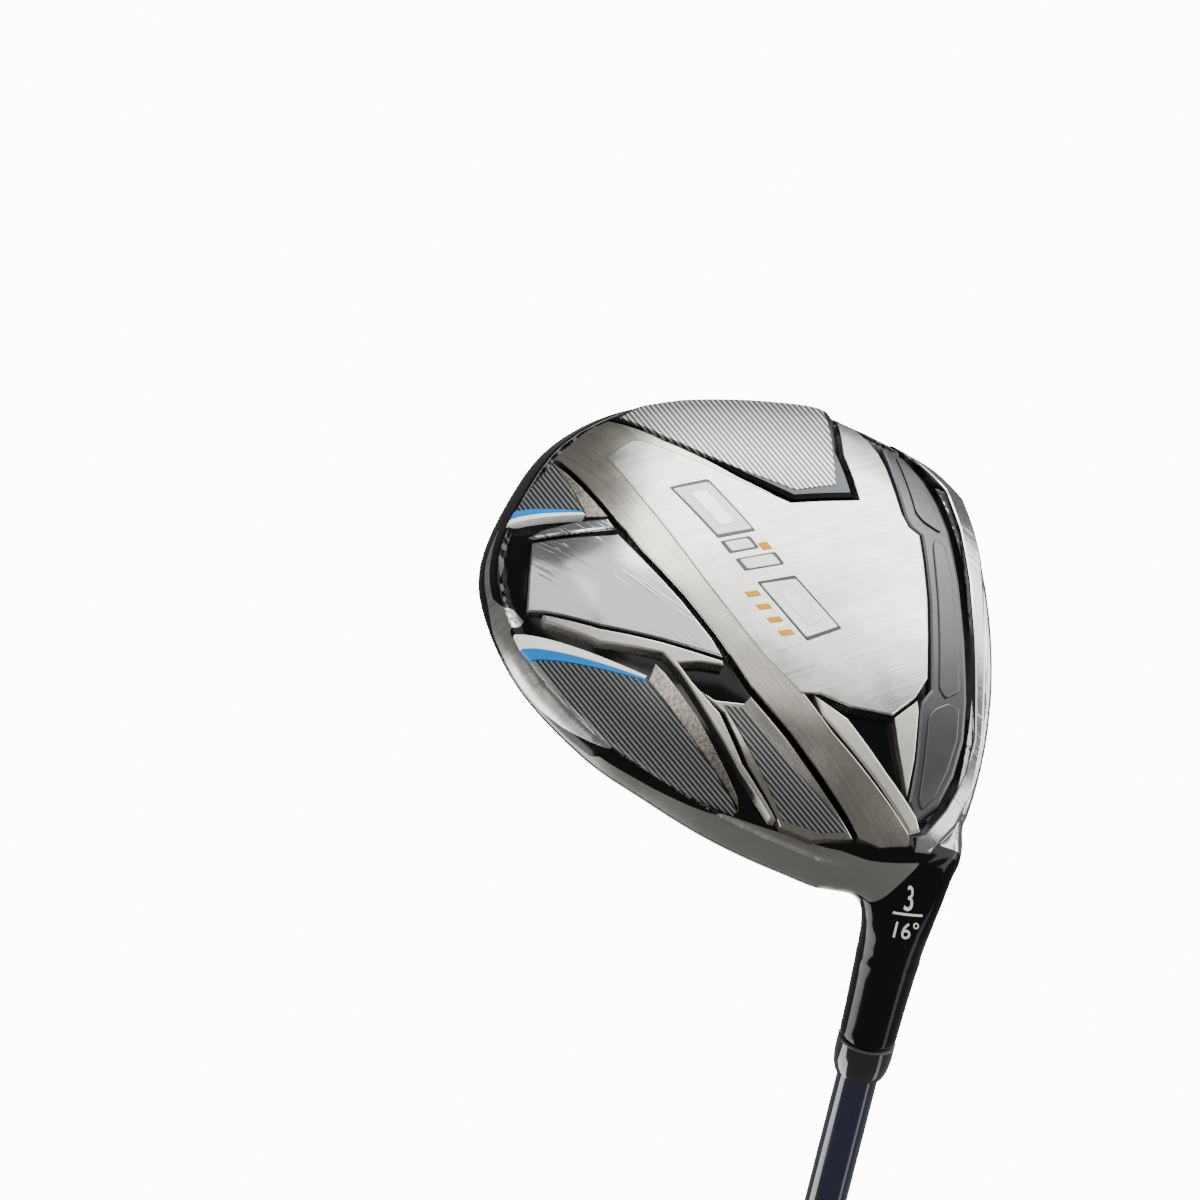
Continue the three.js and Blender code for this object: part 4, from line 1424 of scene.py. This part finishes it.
@dataclass
class ShaftLine:
    """Ferrule, shaft, grip and butt cap, turned round the shaft line. Sizes are in millimetres.

    Attributes:
        tip: Shaft radius at the head.
        butt: Shaft radius under the grip.
        hosel_top: Where the hosel ends.
        tip_end: Where the shaft's straight tip ends.
        shaft_end: Where the shaft ends inside the grip, as far as it is shown.
        sunk: How far the shaft runs down into the hosel, as far as it is shown.
        grip_mouth: Where the grip begins.
        grip_radius: Radius of the grip near its mouth.
        grip_flare: How much wider it is at the butt.
        grip_bore: Radius inside it.
        end: Length of the club.
        bands: Start and length of each silver band.
        numeral_turn: Side of the hosel that the numerals are on, in radians.
        numeral_place: How far up the shaft line they are.
        numeral_radius: Radius of the hosel there.
    """

    tip: float = 4.25
    butt: float = 7.62
    hosel_top: float = 58.5
    tip_end: float = 101.5
    shaft_end: float = 834
    sunk: float = 30
    grip_mouth: float = 828.0
    grip_radius: float = 9.0
    grip_flare: float = 4.4
    grip_bore: float = 8.0
    end: float = 1098.5
    bands: tuple[tuple[float, float], ...] = ((300, 6), (310, 2), (700, 3), (707, 10))
    numeral_turn: float = math.radians(-4)
    numeral_place: float = 27.0
    numeral_radius: float = 6.6

    def radius(self, along: float) -> float:
        """Shaft radius at a distance up the shaft line."""
        share = min(1.0, max(0.0, (along - self.tip_end) / (self.grip_mouth - self.tip_end)))
        return self.tip + (self.butt - self.tip) * share

    def build(self, shell: bpy.types.Object) -> None:
        """Build every turned piece and the numerals on the hosel.

        Args:
            shell: The head's shell, which the numerals lie on.
        """
        top = self.hosel_top
        finished(
            "ferrule",
            turned([
                (4.3, top + 0.16), (5.8, top + 0.16), (5.95, top + 0.3), (5.98, top + 2.6), (5.9, top + 4.2),
                (5.6, top + 6.2), (5.1, top + 7.6), (4.5, top + 8), (4.3, top + 8), (4.3, top + 0.16),
            ]),
            FERRULE_PLASTIC, ("ferrule",),
        )
        finished(
            "ferrule_ring",
            turned([(5.0, top), (6.0, top), (6.0, top + 0.14), (5.0, top + 0.14), (5.0, top)]),
            RING_TRIM,
        )
        foot = top - self.sunk
        stations = [foot, top + 8, self.tip_end, *range(140, 820, 40), self.shaft_end]
        outer = [(self.radius(t), t) for t in stations]
        tube = turned([*outer, (0, self.shaft_end), (0, foot), outer[0]], 48)
        finished("shaft", tube, SHAFT_LACQUER, ("shaft",))
        for k, (start, length) in enumerate(self.bands):
            stop = start + length
            a, b = self.radius(start) + 0.06, self.radius(stop) + 0.06
            ring = turned([(a - 0.3, start), (a, start), (b, stop), (b - 0.3, stop), (a - 0.3, start)])
            finished(f"shaft_band_{k}", ring, BAND_LACQUER)
        self.grip()
        self.numerals(shell)

    def grip(self) -> None:
        """Build the grip and its cap."""
        mouth, cap = self.grip_mouth, self.end - 4.5
        profile = [(self.grip_bore, mouth), (8.7, mouth), (self.grip_radius, mouth + 0.5)]
        steps = 40
        for k in range(1, steps + 1):
            share = k / steps
            along = mouth + 0.5 + (cap - mouth - 0.5) * share
            profile.append((self.grip_radius + self.grip_flare * share**1.25, along))
        profile += [(self.grip_bore, cap), (self.grip_bore, mouth)]
        finished("grip", turned(profile), GRIP_RUBBER, ("grip",))
        finished(
            "butt_cap",
            turned([
                (1.6, cap + 0.2), (13.0, cap + 0.2), (13.8, cap + 0.9), (13.9, cap + 2), (13.4, cap + 3.2),
                (11.8, cap + 4.2), (8, self.end), (1.6, self.end), (1.6, cap + 0.2),
            ]),
            CAP_RUBBER, ("grip_cap",),
        )

    def numerals(self, shell: bpy.types.Object) -> None:
        """Print the number and the loft on the hosel, on the side that shows when the sole is looked at.

        Args:
            shell: The head's shell, which they lie on.
        """
        def on_shell(u: float, v: float, w: float) -> Vector:
            """Lay a flat point on the hosel.

            Args:
                u: Place round the hosel.
                v: Place along it, towards the ground.
                w: How far it stands out of it.

            Returns:
                The laid point.
            """
            turn = self.numeral_turn - u / (self.numeral_radius * MM)
            up = self.numeral_place * MM - v
            out = Vector((math.cos(turn), math.sin(turn), 0))
            away = SHAFT_LINE @ (out * 0.03 + Vector((0, 0, up)))
            inwards = SHAFT_LINE.to_3x3() @ -out
            _, place, _, _ = shell.ray_cast(away, inwards)
            return place - inwards * w

        for name, text, size, lift in (("number", "3", 6.8, 2.0), ("loft", "16°", 4.6, -3.6)):
            curve = bpy.data.curves.new("numeral", "FONT")
            curve.body, curve.size, curve.align_x = text, size * MM, "CENTER"
            curve.extrude = 0.15 * MM
            holder = placed("numeral", curve)
            graph = bpy.context.evaluated_depsgraph_get()
            printed = bpy.data.meshes.new_from_object(holder.evaluated_get(graph))
            bm = bmesh.new()
            bm.from_mesh(printed)
            bpy.data.objects.remove(holder)
            bpy.data.meshes.remove(printed)
            bmesh.ops.remove_doubles(bm, verts=bm.verts[:], dist=1e-6)
            bmesh.ops.translate(bm, verts=bm.verts[:], vec=(0, lift * MM, 0))
            lay(bm, on_shell, 0.8 * MM)
            finished(f"hosel_{name}", bm, NUMERAL_PAINT)
        Plate(
            "hosel_bar", [(-3.6, 1.0), (3.6, 1.0), (3.6, 1.4), (-3.6, 1.4)], NUMERAL_PAINT, rise=0.15,
            depth=0.3, bevel=0.03, surface=on_shell, step=0.8,
        ).build()


@dataclass
class Studio:
    """Floor, soft lights, camera and a pale surround. Sizes are in metres.

    Attributes:
        floor_height: Height of the floor, far enough down to clear every view from below.
        backdrop: Brightness of the surround behind the club.
        fill: Brightness of the surround as it lights paint and rubber.
        mirrored: Brightness of the surround in polished surfaces.
        camera_place: Where the camera stands.
        right: Its right-hand direction.
        down: Its downward direction.
        lens: Focal length in millimetres on a 36 mm sensor.
        lamps: Name, place, width and height, and power in watts of each lamp.
    """

    floor_height: float = -3.6
    backdrop: float = 14.0
    fill: float = 1.4
    mirrored: float = 0.24
    camera_place: Vector = field(default_factory=lambda: Vector((0.76691, 0.32457, -1.24826)))
    right: Vector = field(default_factory=lambda: Vector((-0.01123, -0.97365, -0.22777)))
    down: Vector = field(default_factory=lambda: Vector((0.85815, -0.12631, 0.49762)))
    lens: float = 223.2
    lamps: tuple[tuple[str, tuple[float, float, float], tuple[float, float], float], ...] = (
        ("key", (-1.13, -0.34, -0.94), (1.0, 1.0), 21.0),
        ("pad", (-0.62, 0.2, -1.35), (0.85, 0.85), 3.4),
        ("rear", (-0.42, 0.92, -1.12), (0.75, 0.75), 2.2),
        ("toe", (-1.35, -0.3, -0.4), (0.8, 0.9), 5.0),
        ("front", (-0.5, -1.25, -0.55), (1.6, 1.0), 17.0),
        ("heel", (0.36, -1.0, -0.84), (0.55, 0.55), 2.4),
        ("below", (0.08, 0.35, -1.45), (0.35, 0.4), 2.0),
        ("skirt", (0.45, 1.05, 0.95), (0.9, 0.9), 12.0),
        ("top", (0.1, -0.2, 1.9), (1.2, 1.2), 18.0),
        ("edge", (0.9, -1.1, 0.3), (0.25, 1.4), 1.5),
    )

    def lamp(self, name: str, place: Vector, size: tuple[float, float], power: float) -> None:
        """Add a soft lamp that faces the head.

        Args:
            name: Name of the lamp.
            place: Where it stands.
            size: Its width and height.
            power: Its power in watts.
        """
        light = bpy.data.lights.new(name, "AREA")
        light.shape, light.size, light.size_y, light.energy = "RECTANGLE", *size, power
        lamp = placed(name, light)
        lamp.rotation_euler = (-place).to_track_quat("-Z", "Y").to_euler()
        lamp.location = place
        lamp.visible_camera = False

    def surround(self) -> None:
        """Add the surround: white behind the club, a soft fill on paint, and dim in polished metal."""
        world = bpy.data.worlds.new("pale surround")
        world.use_nodes = True
        tree = world.node_tree
        ray = add_node(tree, "ShaderNodeLightPath").outputs
        seen = add_node(
            tree,
            "ShaderNodeMath",
            {"operation": "MULTIPLY_ADD", 1: self.backdrop - self.fill, 2: self.fill},
            {0: ray["Is Camera Ray"]},
        )
        strength = add_node(
            tree,
            "ShaderNodeMath",
            {"operation": "MULTIPLY_ADD", 1: self.mirrored - self.fill},
            {0: ray["Is Glossy Ray"], 2: seen.outputs[0]},
        )
        light = tree.nodes["Background"]
        light.inputs["Color"].default_value = linear_colour("#fbfbf9")
        tree.links.new(strength.outputs[0], light.inputs["Strength"])
        bpy.context.scene.world = world

    def build(self) -> None:
        """Set the stage."""
        bm = bmesh.new()
        bmesh.ops.create_grid(bm, x_segments=1, y_segments=1, size=8.0)
        bmesh.ops.translate(bm, verts=bm.verts[:], vec=(0, 0, self.floor_height))
        mesh = bpy.data.meshes.new("studio_floor")
        bm.to_mesh(mesh)
        bm.free()
        floor = placed("studio_floor", mesh)
        # Painted board: flat and pale, with no pattern of its own
        mesh.materials.append(Finish("pale studio floor", "stage", "#f1f1ef", 0.7).material())
        floor.visible_glossy = False

        self.surround()
        for name, place, size, power in self.lamps:
            self.lamp(name, Vector(place), size, power)
        self.camera()

    def camera(self) -> None:
        """Set the camera."""
        data = bpy.data.cameras.new("camera")
        data.lens, data.sensor_width, data.clip_end = self.lens, 36.0, 50.0
        camera = placed("camera", data)
        columns = Matrix((self.right, -self.down, self.right.cross(-self.down))).transposed()
        camera.matrix_world = Matrix.Translation(self.camera_place) @ columns.to_4x4()
        bpy.context.scene.camera = camera


def dress_hidden_nodes() -> None:
    """Give the CAD pieces that stay inside the club their finishes."""
    for name, finish in (("hot_melt_pad", HOT_MELT), ("shaft_tip_plug", CORK), ("grip_tape", PAPER_TAPE)):
        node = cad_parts[name]
        node.data.materials.clear()
        node.data.materials.append(finish.material())
        log.info("%s: %s", name, finish.name)


def main() -> None:
    """Build the club and its stage."""
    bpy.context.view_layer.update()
    shell = HeadShell().build()
    SoleTrim().build()
    Crown().build()
    Face().build()
    ShaftLine().build(shell)
    dress_hidden_nodes()
    Studio().build()


if __name__ == "__main__":
    main()
